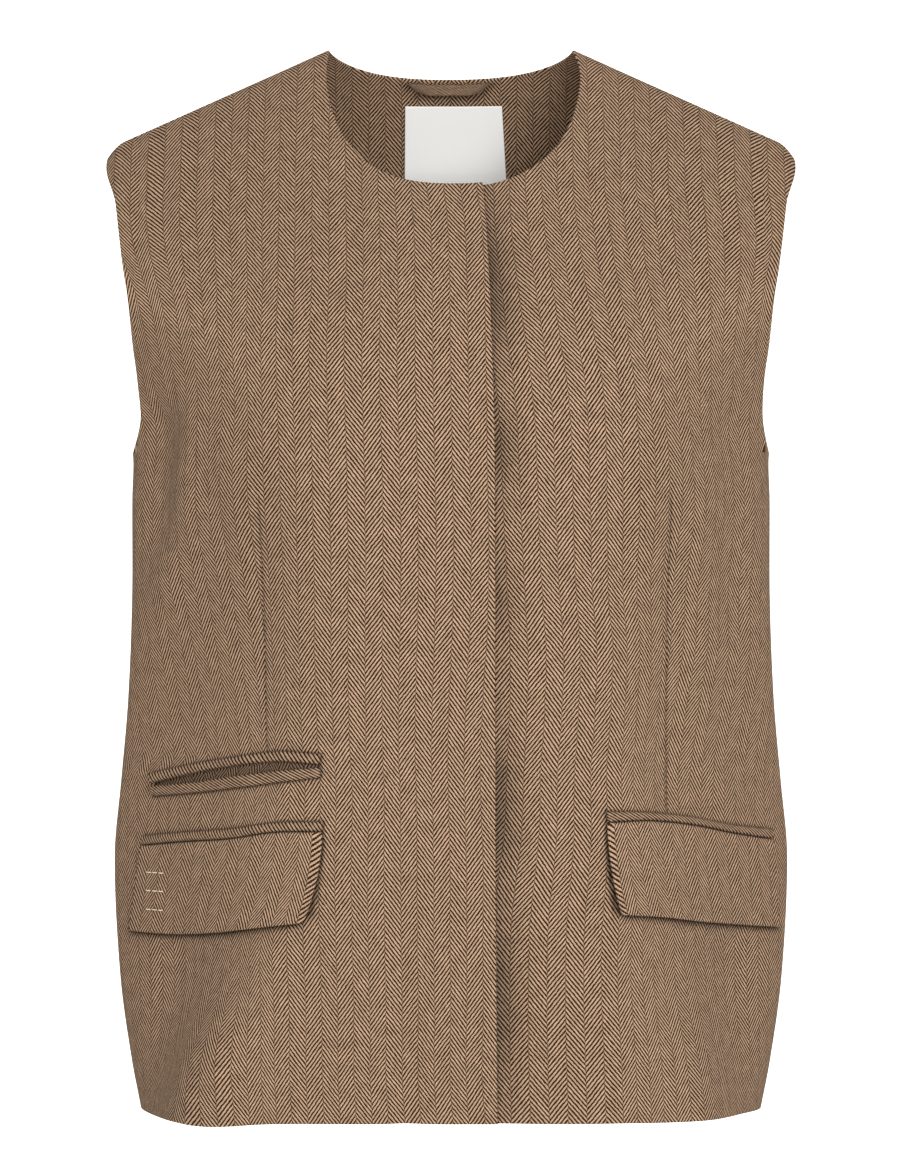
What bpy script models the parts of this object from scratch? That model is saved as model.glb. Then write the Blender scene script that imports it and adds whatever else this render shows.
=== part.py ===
"""Collarless tailored vest of herringbone wool, filled out and hollow, as it is worn.

Metres, +Z up. The origin lies midway between the high shoulder points, where the neckline meets
the shoulder seams. The front faces -Y and +X is the wearer's left. Heights are read down from
the origin, so they are negative.

Two fronts and a back are walls on one body form. Below the underarm that form is a stack of
squarish rings, and above it each ring is arched over the shoulder's ridge. The front half is
flat over the chest and slopes back to the ridge, and from the bust down also to each side seam.
Pockets, label and loop are laid on those walls.
"""
import math
from collections import namedtuple

import bmesh
import bpy
from mathutils import Vector

# ---- Driving dimensions ------------------------------------------------------------------------

HEM = -0.656                # height of the hem
UNDERARM = -0.250           # height of the armhole's lowest point, on the side seam
NECK_HALF = 0.0756          # half width of the neck at the high shoulder points
TIP_HALF = 0.2142           # half width over the shoulder tips

WALL = 0.0020               # cloth with its fused facing
SEAM_GAP = 0.0003           # between pieces that are sewn together
LAP_GAP = 0.0008            # between the two fronts where they overlap
PATCH_GAP = 0.0006          # between a panel and what is laid on it
INSIDE_GAP = 0.0009         # between the hollow side of the back and what is sewn on it
LABEL_WALL = 0.0010         # woven label

SHOULDER_SLOPE = 0.448      # fall of the shoulder's ridge for each metre outward
RIDGE_STRAIGHT = 0.202      # the ridge is straight to here, then rounds down to the tip
RIDGE_ROUNDING = 50.0       # how fast it rounds, for each metre squared
SQUARENESS = {"front": 3.2, "back": 2.5}   # of a ring's two halves, where 2 is an ellipse
BACK_ARCH = 0.19            # fall from the ridge over which the back swells out
BACK_ARCH_POWER = 1.9       # 2 is a round arch, 1 is a straight slope
CHEST_PITCH = 0.45          # how far the chest slopes out for each metre down from the ridge
CHEST_BEND = 0.09           # and how strongly it bends over at the ridge
CORNER_POWER = 8.0          # how sharp the bends are between the front's flat and its slopes

ARMHOLE_SHARE = 0.90        # of the full depth that is left at the armhole's edge at the tip
ARMHOLE_POWER = 0.38        # how fast that share grows from the underarm up
ARMHOLE_CURVE = 2.5         # how squarely the armhole turns in with that share

NECK_CENTRE = 0.0015        # middle of the front neckline
NECK_REACH = 0.0792         # its greatest half width, just below the shoulder
FRONT_NECK = -0.0882        # its lowest height
NECK_SQUARENESS = 2.5       # of its low part, where 2 is an ellipse
NECK_CURL = 0.022           # fall over which it curls in to the high shoulder point
BACK_NECK = -0.0130         # lowest height of the back neckline
BACK_NECK_BOW = (2.6, 0.77)  # its curve: (1 - share^2.6)^0.77 of that, flat with easy ends

UNDERLAP_EDGE = -0.012      # x of the hidden edge of the left front
LAP_FADE = 0.036            # breadth over which the left front comes back out to the form

# Rings of the body form. Above the underarm they run on past the armhole's edge. pitch and bend
# shape the front's slope to the side seam, as the chest's do its slope to the ridge.
Section = namedtuple("Section", "height side front back pitch bend")
SECTIONS = [Section(*row) for row in (
    (-0.656, 0.1920, 0.106, 0.104, 1.10, 0.30),
    (-0.625, 0.1980, 0.111, 0.107, 1.00, 0.20),
    (-0.575, 0.2050, 0.119, 0.112, 0.92, 0.09),
    (-0.500, 0.2086, 0.122, 0.115, 0.92, 0.09),
    (-0.452, 0.2045, 0.121, 0.111, 0.88, 0.09),
    (-0.403, 0.2003, 0.121, 0.106, 0.80, 0.10),
    (-0.340, 0.1978, 0.124, 0.103, 0.66, 0.15),
    (-0.279, 0.1976, 0.130, 0.105, 0.56, 0.22),
    (-0.250, 0.1972, 0.132, 0.108, 0.56, 0.24),
    (-0.225, 0.2022, 0.133, 0.110, 0.60, 0.22),
    (-0.194, 0.2177, 0.134, 0.112, 0.66, 0.20),
    (-0.146, 0.2532, 0.134, 0.113, 0.80, 0.20),
    (-0.098, 0.3150, 0.134, 0.112, 1.00, 0.20),
    (-0.069, 0.3846, 0.134, 0.110, 1.00, 0.20),
)]

# The right front's edge, which lies on top: its x at each height.
EdgePlace = namedtuple("EdgePlace", "height x")
FRONT_EDGE = [EdgePlace(*row) for row in (
    (-0.656, 0.0280),
    (-0.520, 0.0268),
    (-0.330, 0.0264),
    (-0.230, 0.0258),
    (-0.130, 0.0222),
    (-0.087, 0.0195),
)]

# Soft folds: a line from one place to another, its half breadth, and how far it rises.
Fold = namedtuple("Fold", "x_top top x_low low breadth rise")
FRONT_FOLDS = [Fold(*row) for row in (
    (-0.178, -0.236, -0.183, -0.298, 0.016, -0.0070),   # hollow under the right arm
    (-0.160, -0.232, -0.176, -0.335, 0.012, 0.0030),    # ridge before it
    (0.173, -0.235, 0.176, -0.350, 0.014, -0.0030),     # hollow under the left arm
    (-0.115, -0.280, -0.112, -0.450, 0.010, -0.0014),   # right waist dart
    (0.132, -0.280, 0.130, -0.460, 0.010, -0.0014),     # left waist dart
    (-0.064, -0.085, -0.063, -0.145, 0.013, -0.0020),   # beside the neck
    (-0.113, -0.560, -0.148, -0.665, 0.021, 0.0060),    # ridge below the right pocket
    (-0.140, -0.630, -0.150, -0.665, 0.032, 0.0100),    # which swells towards the hem
    (-0.166, -0.560, -0.180, -0.640, 0.016, -0.0040),   # hollow outside that ridge
    (-0.030, -0.515, -0.027, -0.660, 0.012, -0.0035),   # hollow left of the centre at the hem
    (0.172, -0.555, 0.178, -0.660, 0.016, -0.0035),     # hollow below the left pocket
    (0.036, -0.130, 0.037, -0.170, 0.011, -0.0020),     # dips beside the front edge
    (0.037, -0.240, 0.037, -0.260, 0.011, -0.0018),
    (0.037, -0.450, 0.037, -0.485, 0.012, -0.0022),
    (0.038, -0.545, 0.039, -0.610, 0.012, -0.0018),
    (-0.075, -0.245, -0.080, -0.275, 0.050, 0.0030),    # fullness over the right bust
    (0.095, -0.245, 0.100, -0.275, 0.050, 0.0030),      # fullness over the left bust
)]
BACK_FOLDS = [Fold(*row) for row in (
    (0.004, -0.300, 0.000, -0.490, 0.045, -0.0040),     # hollow along the spine
    (-0.085, -0.150, -0.090, -0.190, 0.050, 0.0030),    # over the shoulder blades
    (0.088, -0.150, 0.090, -0.195, 0.050, 0.0030),
    (-0.150, -0.240, -0.112, -0.345, 0.015, -0.0035),   # pulls from the armholes
    (0.152, -0.245, 0.120, -0.325, 0.015, -0.0030),
    (-0.072, -0.500, -0.086, -0.660, 0.020, 0.0040),    # folds that run down to the hem
    (0.060, -0.520, 0.068, -0.660, 0.018, 0.0035),
    (0.132, -0.470, 0.140, -0.660, 0.020, -0.0040),
    (-0.150, -0.520, -0.156, -0.660, 0.017, -0.0035),
)]

# Where the right front's edge lifts off the left front.
Lift = namedtuple("Lift", "height spread rise")
EDGE_LIFTS = [Lift(*row) for row in (
    (-0.150, 0.034, 0.0022),
    (-0.250, 0.022, 0.0016),
    (-0.340, 0.020, 0.0010),
    (-0.466, 0.032, 0.0024),
    (-0.580, 0.045, 0.0018),
)]
LIFT_BREADTH = 0.016        # how far in from the edge the lift reaches

# What is laid on the fronts: x at its outer and inner end along the top and along the bottom,
# then the heights of its top and of its bottom edge at even steps from the outer end to the
# inner one, the radius of its lower inner corner, its wall and how far it stands off at the
# bottom and inner end.
Patch = namedtuple("Patch", "name x_top x_low tops lows radius wall stand")
PATCHES = [Patch(*row) for row in (
    ("ticket_welt_upper", (-0.1842, -0.0776), (-0.1828, -0.0780),
     (-0.4475, -0.4409, -0.4359, -0.4317, -0.4330),
     (-0.4537, -0.4466, -0.4412, -0.4379, -0.4392), 0.0, 0.0024, 0.0003),
    ("ticket_welt_lower", (-0.1842, -0.0776), (-0.1820, -0.0776),
     (-0.4553, -0.4520, -0.4473, -0.4434, -0.4410),
     (-0.4615, -0.4585, -0.4546, -0.4506, -0.4472), 0.0, 0.0024, 0.0),
    ("flap_right_piping", (-0.1880, -0.0762), (-0.1892, -0.0764),
     (-0.4857, -0.4820, -0.4789, -0.4743, -0.4734),
     (-0.4915, -0.4878, -0.4848, -0.4800, -0.4792), 0.0, 0.0028, 0.0),
    ("flap_right", (-0.1894, -0.0766), (-0.1962, -0.0850),
     (-0.4921, -0.4884, -0.4854, -0.4806, -0.4798),
     (-0.5447, -0.5449, -0.5419, -0.5372, -0.5334), 0.006, 0.0024, 0.0034),
    ("flap_left_piping", (0.1966, 0.0925), (0.1968, 0.0930),
     (-0.4821, -0.4782, -0.4723, -0.4685, -0.4676),
     (-0.4881, -0.4831, -0.4770, -0.4735, -0.4739), 0.0, 0.0028, 0.0),
    ("flap_left", (0.1968, 0.0930), (0.2000, 0.0995),
     (-0.4887, -0.4837, -0.4776, -0.4741, -0.4745),
     (-0.5427, -0.5394, -0.5357, -0.5314, -0.5290), 0.003, 0.0024, 0.0040),
)]
INNER_CURVE = 1.8           # how late a patch's inner end turns towards its lower place

LABEL_TOP = -0.0275
LABEL_LOW = -0.0800
LABEL_X_TOP = (-0.0293, 0.0326)   # x of its two ends along the top, and along the bottom
LABEL_X_LOW = (-0.0298, 0.0360)

LOOP_X_TOP = (-0.0290, 0.0254)    # x of the loop's ends in the neck seam
LOOP_X_LOW = (-0.0206, 0.0180)    # and of the straight part of its lower edge
LOOP_BELOW_SEAM = 0.0008          # its upper edge, below the neckline
LOOP_LOW = -0.0196                # height of its lower edge
LOOP_WALL = 0.0016
LOOP_BOW = 0.0026                 # how far its middle stands off the back

# ---- How finely each piece is divided ----------------------------------------------------------

BODY_ROWS = 16              # hem to underarm
YOKE_ROWS = 15              # underarm to shoulder
CORNER_ROW = 6              # the yoke row that ends at the front neck's corner
FRONT_PARTS = 21            # front edge to side seam
NECK_PARTS = 5              # middle of the back to the high shoulder point
BACK_SIDE_PARTS = 10        # high shoulder point to armhole
PATCH_PARTS = 14            # along a flap or strip
FLAP_STEPS = 5              # down a flap
STRIP_STEPS = 2             # down a welt or piping
FINE = 400                  # samples when a ring's length is measured

WOOL_COLOUR = (149, 122, 99)
WOOL_INSIDE_COLOUR = (131, 106, 84)
PIPING_COLOUR = (140, 113, 90)
LABEL_COLOUR = (232, 232, 232)


# ---- Small helpers -----------------------------------------------------------------------------

def clamp(value, low=0.0, high=1.0):
    return max(low, min(high, value))


def blend(a, b, share):
    return a + (b - a) * share


def ease(share):
    """Smooth step from 0 to 1."""
    share = clamp(share)
    return share * share * (3.0 - 2.0 * share)


def slope_at(table, index, column):
    """Slope of a column at one row of a table, from the rows on either side."""
    before = table[max(0, index - 1)]
    after = table[min(len(table) - 1, index + 1)]
    return (getattr(after, column) - getattr(before, column)) / (after.height - before.height)


def read(table, column, height):
    """A column's value at a height: a smooth curve through the table's rows."""
    height = clamp(height, table[0].height, table[-1].height)
    index = 0
    while index < len(table) - 2 and table[index + 1].height < height:
        index += 1
    low, high = table[index], table[index + 1]
    span = high.height - low.height
    t = (height - low.height) / span
    start = slope_at(table, index, column) * span
    end = slope_at(table, index + 1, column) * span
    return ((2 * t**3 - 3 * t**2 + 1) * getattr(low, column) + (t**3 - 2 * t**2 + t) * start
            + (3 * t**2 - 2 * t**3) * getattr(high, column) + (t**3 - t**2) * end)


def round_power(value, power):
    """The other side of a curve |a|^power + |b|^power = 1."""
    return (1.0 - clamp(abs(value)) ** power) ** (1.0 / power)


# ---- The body form -----------------------------------------------------------------------------

def ridge(x):
    """Height of the shoulder's ridge, which is rounded over the neck's opening."""
    if abs(x) < NECK_HALF:
        return SHOULDER_SLOPE * (NECK_HALF**2 - x**2) / (2.0 * NECK_HALF)
    rounding = max(0.0, abs(x) - RIDGE_STRAIGHT)
    return (NECK_HALF - abs(x)) * SHOULDER_SLOPE - RIDGE_ROUNDING * rounding**2


TIP = ridge(TIP_HALF)


def half_width(height):
    return read(SECTIONS, "side", height)


def armhole_share(height):
    """Share of the full depth at the armhole's edge, from 0 at the underarm up."""
    rise = clamp((height - UNDERARM) / (TIP - UNDERARM))
    return ARMHOLE_SHARE * rise**ARMHOLE_POWER


def side_x(height):
    """The x of the side seam, and above the underarm that of the armhole's edge."""
    return half_width(height) * round_power(armhole_share(height), ARMHOLE_CURVE)


def rounded_least(values):
    """The least of some lengths, which passes smoothly from one to the next."""
    least = min(values)
    if least <= 0.0:
        return 0.0
    return least * sum((least / value) ** CORNER_POWER for value in values) ** (-1.0 / CORNER_POWER)


def depth(face, x, height):
    """How far the form stands out from the plane of the side seams."""
    fall = max(0.0, ridge(x) - height)
    room = max(0.0, half_width(height) - abs(x))
    ring = read(SECTIONS, face, height) * round_power(x / half_width(height), SQUARENESS[face])
    if face == "back":
        return ring * round_power(1.0 - clamp(fall / BACK_ARCH), BACK_ARCH_POWER)
    chest = CHEST_PITCH * fall + CHEST_BEND * math.sqrt(fall)
    side = (read(SECTIONS, "pitch", height) * room
            + read(SECTIONS, "bend", height) * math.sqrt(room))
    return rounded_least((ring, chest, side))


def form_point(face, x, height):
    out = depth(face, x, height)
    return Vector((x, -out if face == "front" else out, height))


def form_normal(face, x, height):
    """Outward normal of the form. On the ridge and on the side seam it has no y."""
    step = 0.0004
    facing = -1.0 if face == "front" else 1.0
    if ridge(x) - height < step:
        drop = (ridge(abs(x) - step) - ridge(abs(x) + step)) / (2.0 * step)
        return Vector((math.copysign(drop, x), 0.0, 1.0)).normalized()
    if side_x(height) - abs(x) < step and height <= UNDERARM:
        widen = (side_x(height + step) - side_x(height - step)) / (2.0 * step)
        return Vector((math.copysign(1.0, x), 0.0, -widen)).normalized()
    across = (depth(face, x + step, height) - depth(face, x - step, height)) / (2.0 * step)
    upward = (depth(face, x, height + step) - depth(face, x, height - step)) / (2.0 * step)
    return Vector((-across, facing, -upward)).normalized()


def fold_rise(folds, x, height):
    """How far the folds of one face lift the cloth at a place."""
    rise = 0.0
    for fold in folds:
        run_x, run_z = fold.x_low - fold.x_top, fold.low - fold.top
        from_x, from_z = x - fold.x_top, height - fold.top
        share = clamp((from_x * run_x + from_z * run_z) / (run_x**2 + run_z**2))
        off = math.hypot(from_x - run_x * share, from_z - run_z * share)
        rise += fold.rise * math.exp(-((off / fold.breadth) ** 2))
    return rise


def seam_fade(face, x, height):
    """0 on the side and shoulder seams, so that folds leave them in place."""
    return ease(depth(face, x, height) / 0.045)


def edge_x(height):
    return read(FRONT_EDGE, "x", height)


def edge_lift(x, height):
    """How far the right front's edge lifts off the left front."""
    near = ease(1.0 - (edge_x(height) - x) / LIFT_BREADTH)
    lift = 0.0
    for place in EDGE_LIFTS:
        lift += place.rise * math.exp(-(((height - place.height) / place.spread) ** 2))
    return lift * near


def panel_rise(panel, x, height):
    """How far a panel's outer face stands off the form."""
    if panel == "back":
        return fold_rise(BACK_FOLDS, x, height) * seam_fade("back", x, height)
    rise = fold_rise(FRONT_FOLDS, x, height) * seam_fade("front", x, height)
    if panel == "front_right":
        return rise + edge_lift(x, height)
    tuck = 1.0 - ease((x - edge_x(height)) / LAP_FADE)
    return rise - tuck * (WALL + LAP_GAP)


def panel_point(panel, x, height, out=0.0):
    """A point on a panel's outer face, moved out along the form's normal."""
    face = "back" if panel == "back" else "front"
    normal = form_normal(face, x, height)
    return form_point(face, x, height) + normal * (panel_rise(panel, x, height) + out)


# ---- Solids from grids of points ---------------------------------------------------------------

def principled(name, colour, roughness):
    """A cloth material. The colour is given as sRGB, 0 to 255."""
    linear = [((c / 255.0 + 0.055) / 1.055) ** 2.4 for c in colour]
    material = bpy.data.materials.new(name)
    material.use_nodes = True
    shader = material.node_tree.nodes["Principled BSDF"]
    shader.inputs["Base Color"].default_value = (*linear, 1.0)
    shader.inputs["Roughness"].default_value = roughness
    shader.inputs["Metallic"].default_value = 0.0
    material.diffuse_color = (*linear, 1.0)
    return material


def solid_from_faces(name, outer, inner, material):
    """A closed wall between two grids of points of the same size."""
    mesh = bpy.data.meshes.new(name)
    form = bmesh.new()
    rows, columns = len(outer), len(outer[0])
    front = [[form.verts.new(point) for point in row] for row in outer]
    back = [[form.verts.new(point) for point in row] for row in inner]
    for r in range(rows - 1):
        for c in range(columns - 1):
            form.faces.new((front[r][c], front[r][c + 1], front[r + 1][c + 1], front[r + 1][c]))
            form.faces.new((back[r][c], back[r + 1][c], back[r + 1][c + 1], back[r][c + 1]))
    rim = [(0, c) for c in range(columns)]
    rim += [(r, columns - 1) for r in range(1, rows)]
    rim += [(rows - 1, c) for c in range(columns - 2, -1, -1)]
    rim += [(r, 0) for r in range(rows - 2, 0, -1)]
    for (r0, c0), (r1, c1) in zip(rim, rim[1:] + rim[:1]):
        form.faces.new((front[r0][c0], back[r0][c0], back[r1][c1], front[r1][c1]))
    bmesh.ops.recalc_face_normals(form, faces=form.faces)
    form.to_mesh(mesh)
    form.free()
    mesh.materials.append(material)
    mesh.shade_smooth()
    mesh.set_sharp_from_angle(angle=math.radians(40.0))
    piece = bpy.data.objects.new(name, mesh)
    bpy.context.collection.objects.link(piece)
    return piece


def wall_on_form(panel, places, material):
    """A panel's wall: places are rows of (x, height, whether a seam is sewn there)."""
    face = "back" if panel == "back" else "front"
    facing = -1.0 if face == "front" else 1.0
    outer, inner = [], []
    for row in places:
        outer.append([])
        inner.append([])
        for x, height, on_seam in row:
            normal = form_normal(face, x, height)
            point = panel_point(panel, x, height)
            deep = point - normal * WALL
            if on_seam:
                point.y = deep.y = facing * SEAM_GAP / 2.0
            outer[-1].append(point)
            inner[-1].append(deep)
    return solid_from_faces(panel, outer, inner, material)


# ---- The three panels --------------------------------------------------------------------------

def ring_shares(start, parts):
    """Shares of the way in x from an inner edge to the side seam, at equal lengths of cloth."""
    wide = half_width(UNDERARM)
    xs = [blend(start, wide, math.sin(math.pi / 2 * k / FINE)) for k in range(FINE + 1)]
    points = [form_point("front", x, UNDERARM) for x in xs]
    run = [0.0]
    for a, b in zip(points, points[1:]):
        run.append(run[-1] + (b - a).length)
    shares = []
    for part in range(parts + 1):
        target = run[-1] * part / parts
        index = min(range(FINE + 1), key=lambda k: abs(run[k] - target))
        shares.append((xs[index] - start) / (wide - start))
    return shares


def neck_point(angle):
    """x and height on the front neckline: angle 0 is the left shoulder, pi the right one."""
    turn = math.cos(angle)
    side = math.copysign(1.0, turn)
    x = NECK_CENTRE + NECK_REACH * side * abs(turn) ** (2.0 / NECK_SQUARENESS)
    height = FRONT_NECK * math.sin(angle) ** (2.0 / NECK_SQUARENESS)
    curl = clamp(1.0 + height / NECK_CURL) ** 2
    return blend(x, side * NECK_HALF, curl), height


def neck_angle(x):
    """The angle at which the neckline's low part passes x."""
    reach = (x - NECK_CENTRE) / NECK_REACH
    return math.acos(math.copysign(abs(reach) ** (NECK_SQUARENESS / 2.0), reach))


def inner_edge(side):
    """A front's inner edge from the hem up: the front edge, then the neckline to the shoulder."""
    corner_x = UNDERLAP_EDGE if side > 0 else edge_x(FRONT_NECK)
    corner_angle = neck_angle(corner_x)
    corner = neck_point(corner_angle)
    edge = []
    for row in range(BODY_ROWS):
        edge.append(blend(HEM, UNDERARM, row / BODY_ROWS))
    for row in range(CORNER_ROW):
        edge.append(blend(UNDERARM, corner[1], row / CORNER_ROW))
    edge = [(UNDERLAP_EDGE if side > 0 else edge_x(height), height) for height in edge]
    steps = YOKE_ROWS - CORNER_ROW
    shoulder_angle = 0.0 if side > 0 else math.pi
    for step in range(steps + 1):
        left = (1.0 - step / steps) ** 1.4
        edge.append(neck_point(blend(shoulder_angle, corner_angle, left)))
    return edge


def outer_edge():
    """x and height up the side seam and the armhole, as on the wearer's left."""
    heights = [blend(HEM, UNDERARM, row / BODY_ROWS) for row in range(BODY_ROWS)]
    for row in range(YOKE_ROWS):
        rise = 0.5 - 0.5 * math.cos(math.pi * row / YOKE_ROWS)
        heights.append(blend(UNDERARM, TIP, rise))
    return [(side_x(height), height) for height in heights] + [(TIP_HALF, TIP)]


def yoke_share(x, height):
    """Share of the way from the underarm's height up to the ridge."""
    return (height - UNDERARM) / (ridge(x) - UNDERARM)


def front_places(side):
    """Rows of places on a front, side -1 for the wearer's right and 1 for the left."""
    inner, outer = inner_edge(side), outer_edge()
    shares = ring_shares(side * inner[BODY_ROWS][0], FRONT_PARTS)
    rows = []
    for row, ((x_in, low), (x_out, high)) in enumerate(zip(inner, outer)):
        x_out *= side
        places = []
        for share in shares:
            x = blend(x_in, x_out, share)
            height = low
            if row > BODY_ROWS:
                rise = blend(yoke_share(x_in, low), yoke_share(x_out, high), share)
                height = blend(UNDERARM, ridge(x), rise)
            seam = row == len(inner) - 1 or (share == shares[-1] and row <= BODY_ROWS)
            places.append((x, height, seam))
        rows.append(places)
    return rows


def back_columns():
    """Shares of the half width for the back's columns, with one on each high shoulder point."""
    neck = NECK_HALF / TIP_HALF
    inner = [neck * math.sin(math.pi / 2 * part / NECK_PARTS) for part in range(NECK_PARTS)]
    outer = ring_shares(neck * half_width(UNDERARM), BACK_SIDE_PARTS)
    half = inner + [blend(neck, 1.0, share) for share in outer]
    return [-share for share in reversed(half[1:])] + half


def back_top(x):
    """Height of the back's upper edge: the neckline, then the shoulder's ridge."""
    if abs(x) > NECK_HALF:
        return ridge(x)
    flat, end = BACK_NECK_BOW
    return BACK_NECK * (1.0 - abs(x / NECK_HALF) ** flat) ** end


def back_places():
    rows = []
    for row, (x_out, height) in enumerate(outer_edge()):
        places = []
        for column, share in enumerate(back_columns()):
            x = x_out * share
            at = height
            if row > BODY_ROWS:
                at = blend(UNDERARM, back_top(x), (height - UNDERARM) / (TIP - UNDERARM))
            on_neck = abs(column - BACK_SIDE_PARTS - NECK_PARTS) < NECK_PARTS
            shoulder = row == BODY_ROWS + YOKE_ROWS and not on_neck
            places.append((x, at, shoulder or (abs(share) == 1.0 and row <= BODY_ROWS)))
        rows.append(places)
    return rows


# ---- What is laid on the panels ----------------------------------------------------------------

def curve_through(values, share):
    """A value on a smooth curve through values at even steps."""
    last = len(values) - 1
    step = min(int(share * last), last - 1)
    t = share * last - step
    start = (values[step + 1] - values[max(0, step - 1)]) / (1.0 + (step > 0))
    end = (values[min(last, step + 2)] - values[step]) / (1.0 + (step < last - 1))
    return ((2 * t**3 - 3 * t**2 + 1) * values[step] + (t**3 - 2 * t**2 + t) * start
            + (3 * t**2 - 2 * t**3) * values[step + 1] + (t**3 - t**2) * end)


def corner_rise(share, length, radius):
    """How far the lower edge rises where its inner corner is rounded."""
    past = length * share - (length - radius)
    if radius <= 0.0 or past <= 0.0:
        return 0.0
    return radius - math.sqrt(max(0.0, radius**2 - past**2))


def patch_share(part, parts, length, radius):
    """Even steps along a patch, closer together round its rounded corner."""
    straight = parts - 3
    if radius <= 0.0:
        return part / parts
    if part <= straight:
        return (1.0 - radius / length) * part / straight
    turn = math.radians(90.0) * (part - straight) / 3.0
    return 1.0 - radius / length * (1.0 - math.sin(turn))


def lay_patch(patch, material):
    """A strip or flap laid on a front, made from the panel's own points moved out."""
    panel = "front_right" if patch.x_top[0] < 0 else "front_left"
    length = abs(patch.x_top[1] - patch.x_top[0])
    steps = FLAP_STEPS if patch.radius > 0.0 else STRIP_STEPS
    outer, inner = [], []
    for step in range(steps + 1):
        down = step / steps
        outer.append([])
        inner.append([])
        for part in range(PATCH_PARTS + 1):
            along = patch_share(part, PATCH_PARTS, length, patch.radius)
            top = curve_through(patch.tops, along)
            low = curve_through(patch.lows, along) + corner_rise(along, length, patch.radius)
            outer_x = blend(patch.x_top[0], patch.x_low[0], down)
            inner_x = blend(patch.x_top[1], patch.x_low[1], down**INNER_CURVE)
            x = blend(outer_x, inner_x, along)
            height = blend(top, low, down)
            off = PATCH_GAP + patch.stand * down**1.5 * (0.25 + 0.75 * along**2)
            inner[-1].append(panel_point(panel, x, height, off))
            outer[-1].append(panel_point(panel, x, height, off + patch.wall))
    return solid_from_faces(patch.name, outer, inner, material)


def lay_inside_back(name, x_top, x_low, top_at, low_at, wall, bow, divisions, material):
    """A piece sewn on the hollow side of the back. Its middle stands off by bow at the bottom."""
    parts, steps = divisions
    outer, inner = [], []
    for step in range(steps + 1):
        down = step / steps
        outer.append([])
        inner.append([])
        for part in range(parts + 1):
            along = part / parts
            x = blend(blend(*x_top, along), blend(*x_low, along), down)
            height = blend(top_at(x), low_at(x), down)
            off = INSIDE_GAP + bow * down * ease(min(along, 1.0 - along) / 0.2)
            outer[-1].append(panel_point("back", x, height, -WALL - off))
            inner[-1].append(panel_point("back", x, height, -WALL - off - wall))
    return solid_from_faces(name, outer, inner, material)


# ---- Build -------------------------------------------------------------------------------------

for old in list(bpy.data.objects):
    bpy.data.objects.remove(old, do_unlink=True)

wool = principled("herringbone wool", WOOL_COLOUR, 0.9)
wool_inside = principled("herringbone wool, back", WOOL_INSIDE_COLOUR, 0.9)
strips = principled("herringbone wool, cut strips", PIPING_COLOUR, 0.9)
ribbon = principled("white woven ribbon", LABEL_COLOUR, 0.6)

wall_on_form("front_right", front_places(-1), wool)
wall_on_form("front_left", front_places(1), wool)
wall_on_form("back", back_places(), wool_inside)

for patch in PATCHES:
    lay_patch(patch, strips if patch.radius == 0.0 else wool)

lay_inside_back("neck_label", LABEL_X_TOP, LABEL_X_LOW, lambda x: LABEL_TOP,
                lambda x: LABEL_LOW, LABEL_WALL, 0.0, (6, 7), ribbon)
lay_inside_back("hanger_loop", LOOP_X_TOP, LOOP_X_LOW,
                lambda x: back_top(x) - LOOP_BELOW_SEAM, lambda x: LOOP_LOW,
                LOOP_WALL, LOOP_BOW, (12, 2), strips)
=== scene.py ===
"""Collarless tailored vest of herringbone wool, filled out and hollow, in a plain studio.

Metres, +Z up. The origin lies midway between the high shoulder points, the fronts face -Y and
+X is the wearer's left. Heights are read down from the origin, so they are negative.

Each piece of cloth is a fine, thin shell on the form of the solid that it stands for. Its UV map
"cut" holds the place on the flat cloth in metres: U across the grain, V along it. The weave is
drawn from that, so it has its real size everywhere.
"""
import math
from collections import namedtuple

import bpy
import numpy as np
from mathutils import Matrix, Vector


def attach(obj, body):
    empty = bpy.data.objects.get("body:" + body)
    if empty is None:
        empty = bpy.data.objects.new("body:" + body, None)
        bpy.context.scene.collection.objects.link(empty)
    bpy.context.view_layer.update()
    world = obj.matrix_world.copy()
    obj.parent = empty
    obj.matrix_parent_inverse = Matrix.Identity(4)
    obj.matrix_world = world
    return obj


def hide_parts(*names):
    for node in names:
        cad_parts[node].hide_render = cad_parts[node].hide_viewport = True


bl_info = {
    "name": "Herringbone vest",
    "version": (1, 0, 0),
    "blender": (4, 5, 0),
    "location": "View3D > Sidebar > Vest",
    "description": "Makes a tailored herringbone vest, one button for each piece",
    "category": "Object",
}

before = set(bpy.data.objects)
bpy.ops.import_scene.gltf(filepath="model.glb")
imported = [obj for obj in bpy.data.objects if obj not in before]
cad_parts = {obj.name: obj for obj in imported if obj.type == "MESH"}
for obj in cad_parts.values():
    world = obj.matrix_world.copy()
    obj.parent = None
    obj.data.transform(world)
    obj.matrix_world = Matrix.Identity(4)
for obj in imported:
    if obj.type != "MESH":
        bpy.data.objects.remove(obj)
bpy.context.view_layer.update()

# ---- The cut and the body form, as the solids have them ----------------------------------------

HEM = -0.656                # height of the hem
UNDERARM = -0.250           # lowest point of the armhole, on the side seam
NECK_HALF = 0.0756          # half width of the neck at the high shoulder points
TIP_HALF = 0.2142           # half width over the shoulder tips

WALL = 0.0020               # cloth with its fused facing
SEAM_GAP = 0.0003           # between pieces that are sewn together
LAP_GAP = 0.0008            # between the two fronts where they overlap
PATCH_GAP = 0.0006          # between a panel and what is laid on it
INSIDE_GAP = 0.0009         # between the hollow side of the back and what is sewn on it

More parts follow.
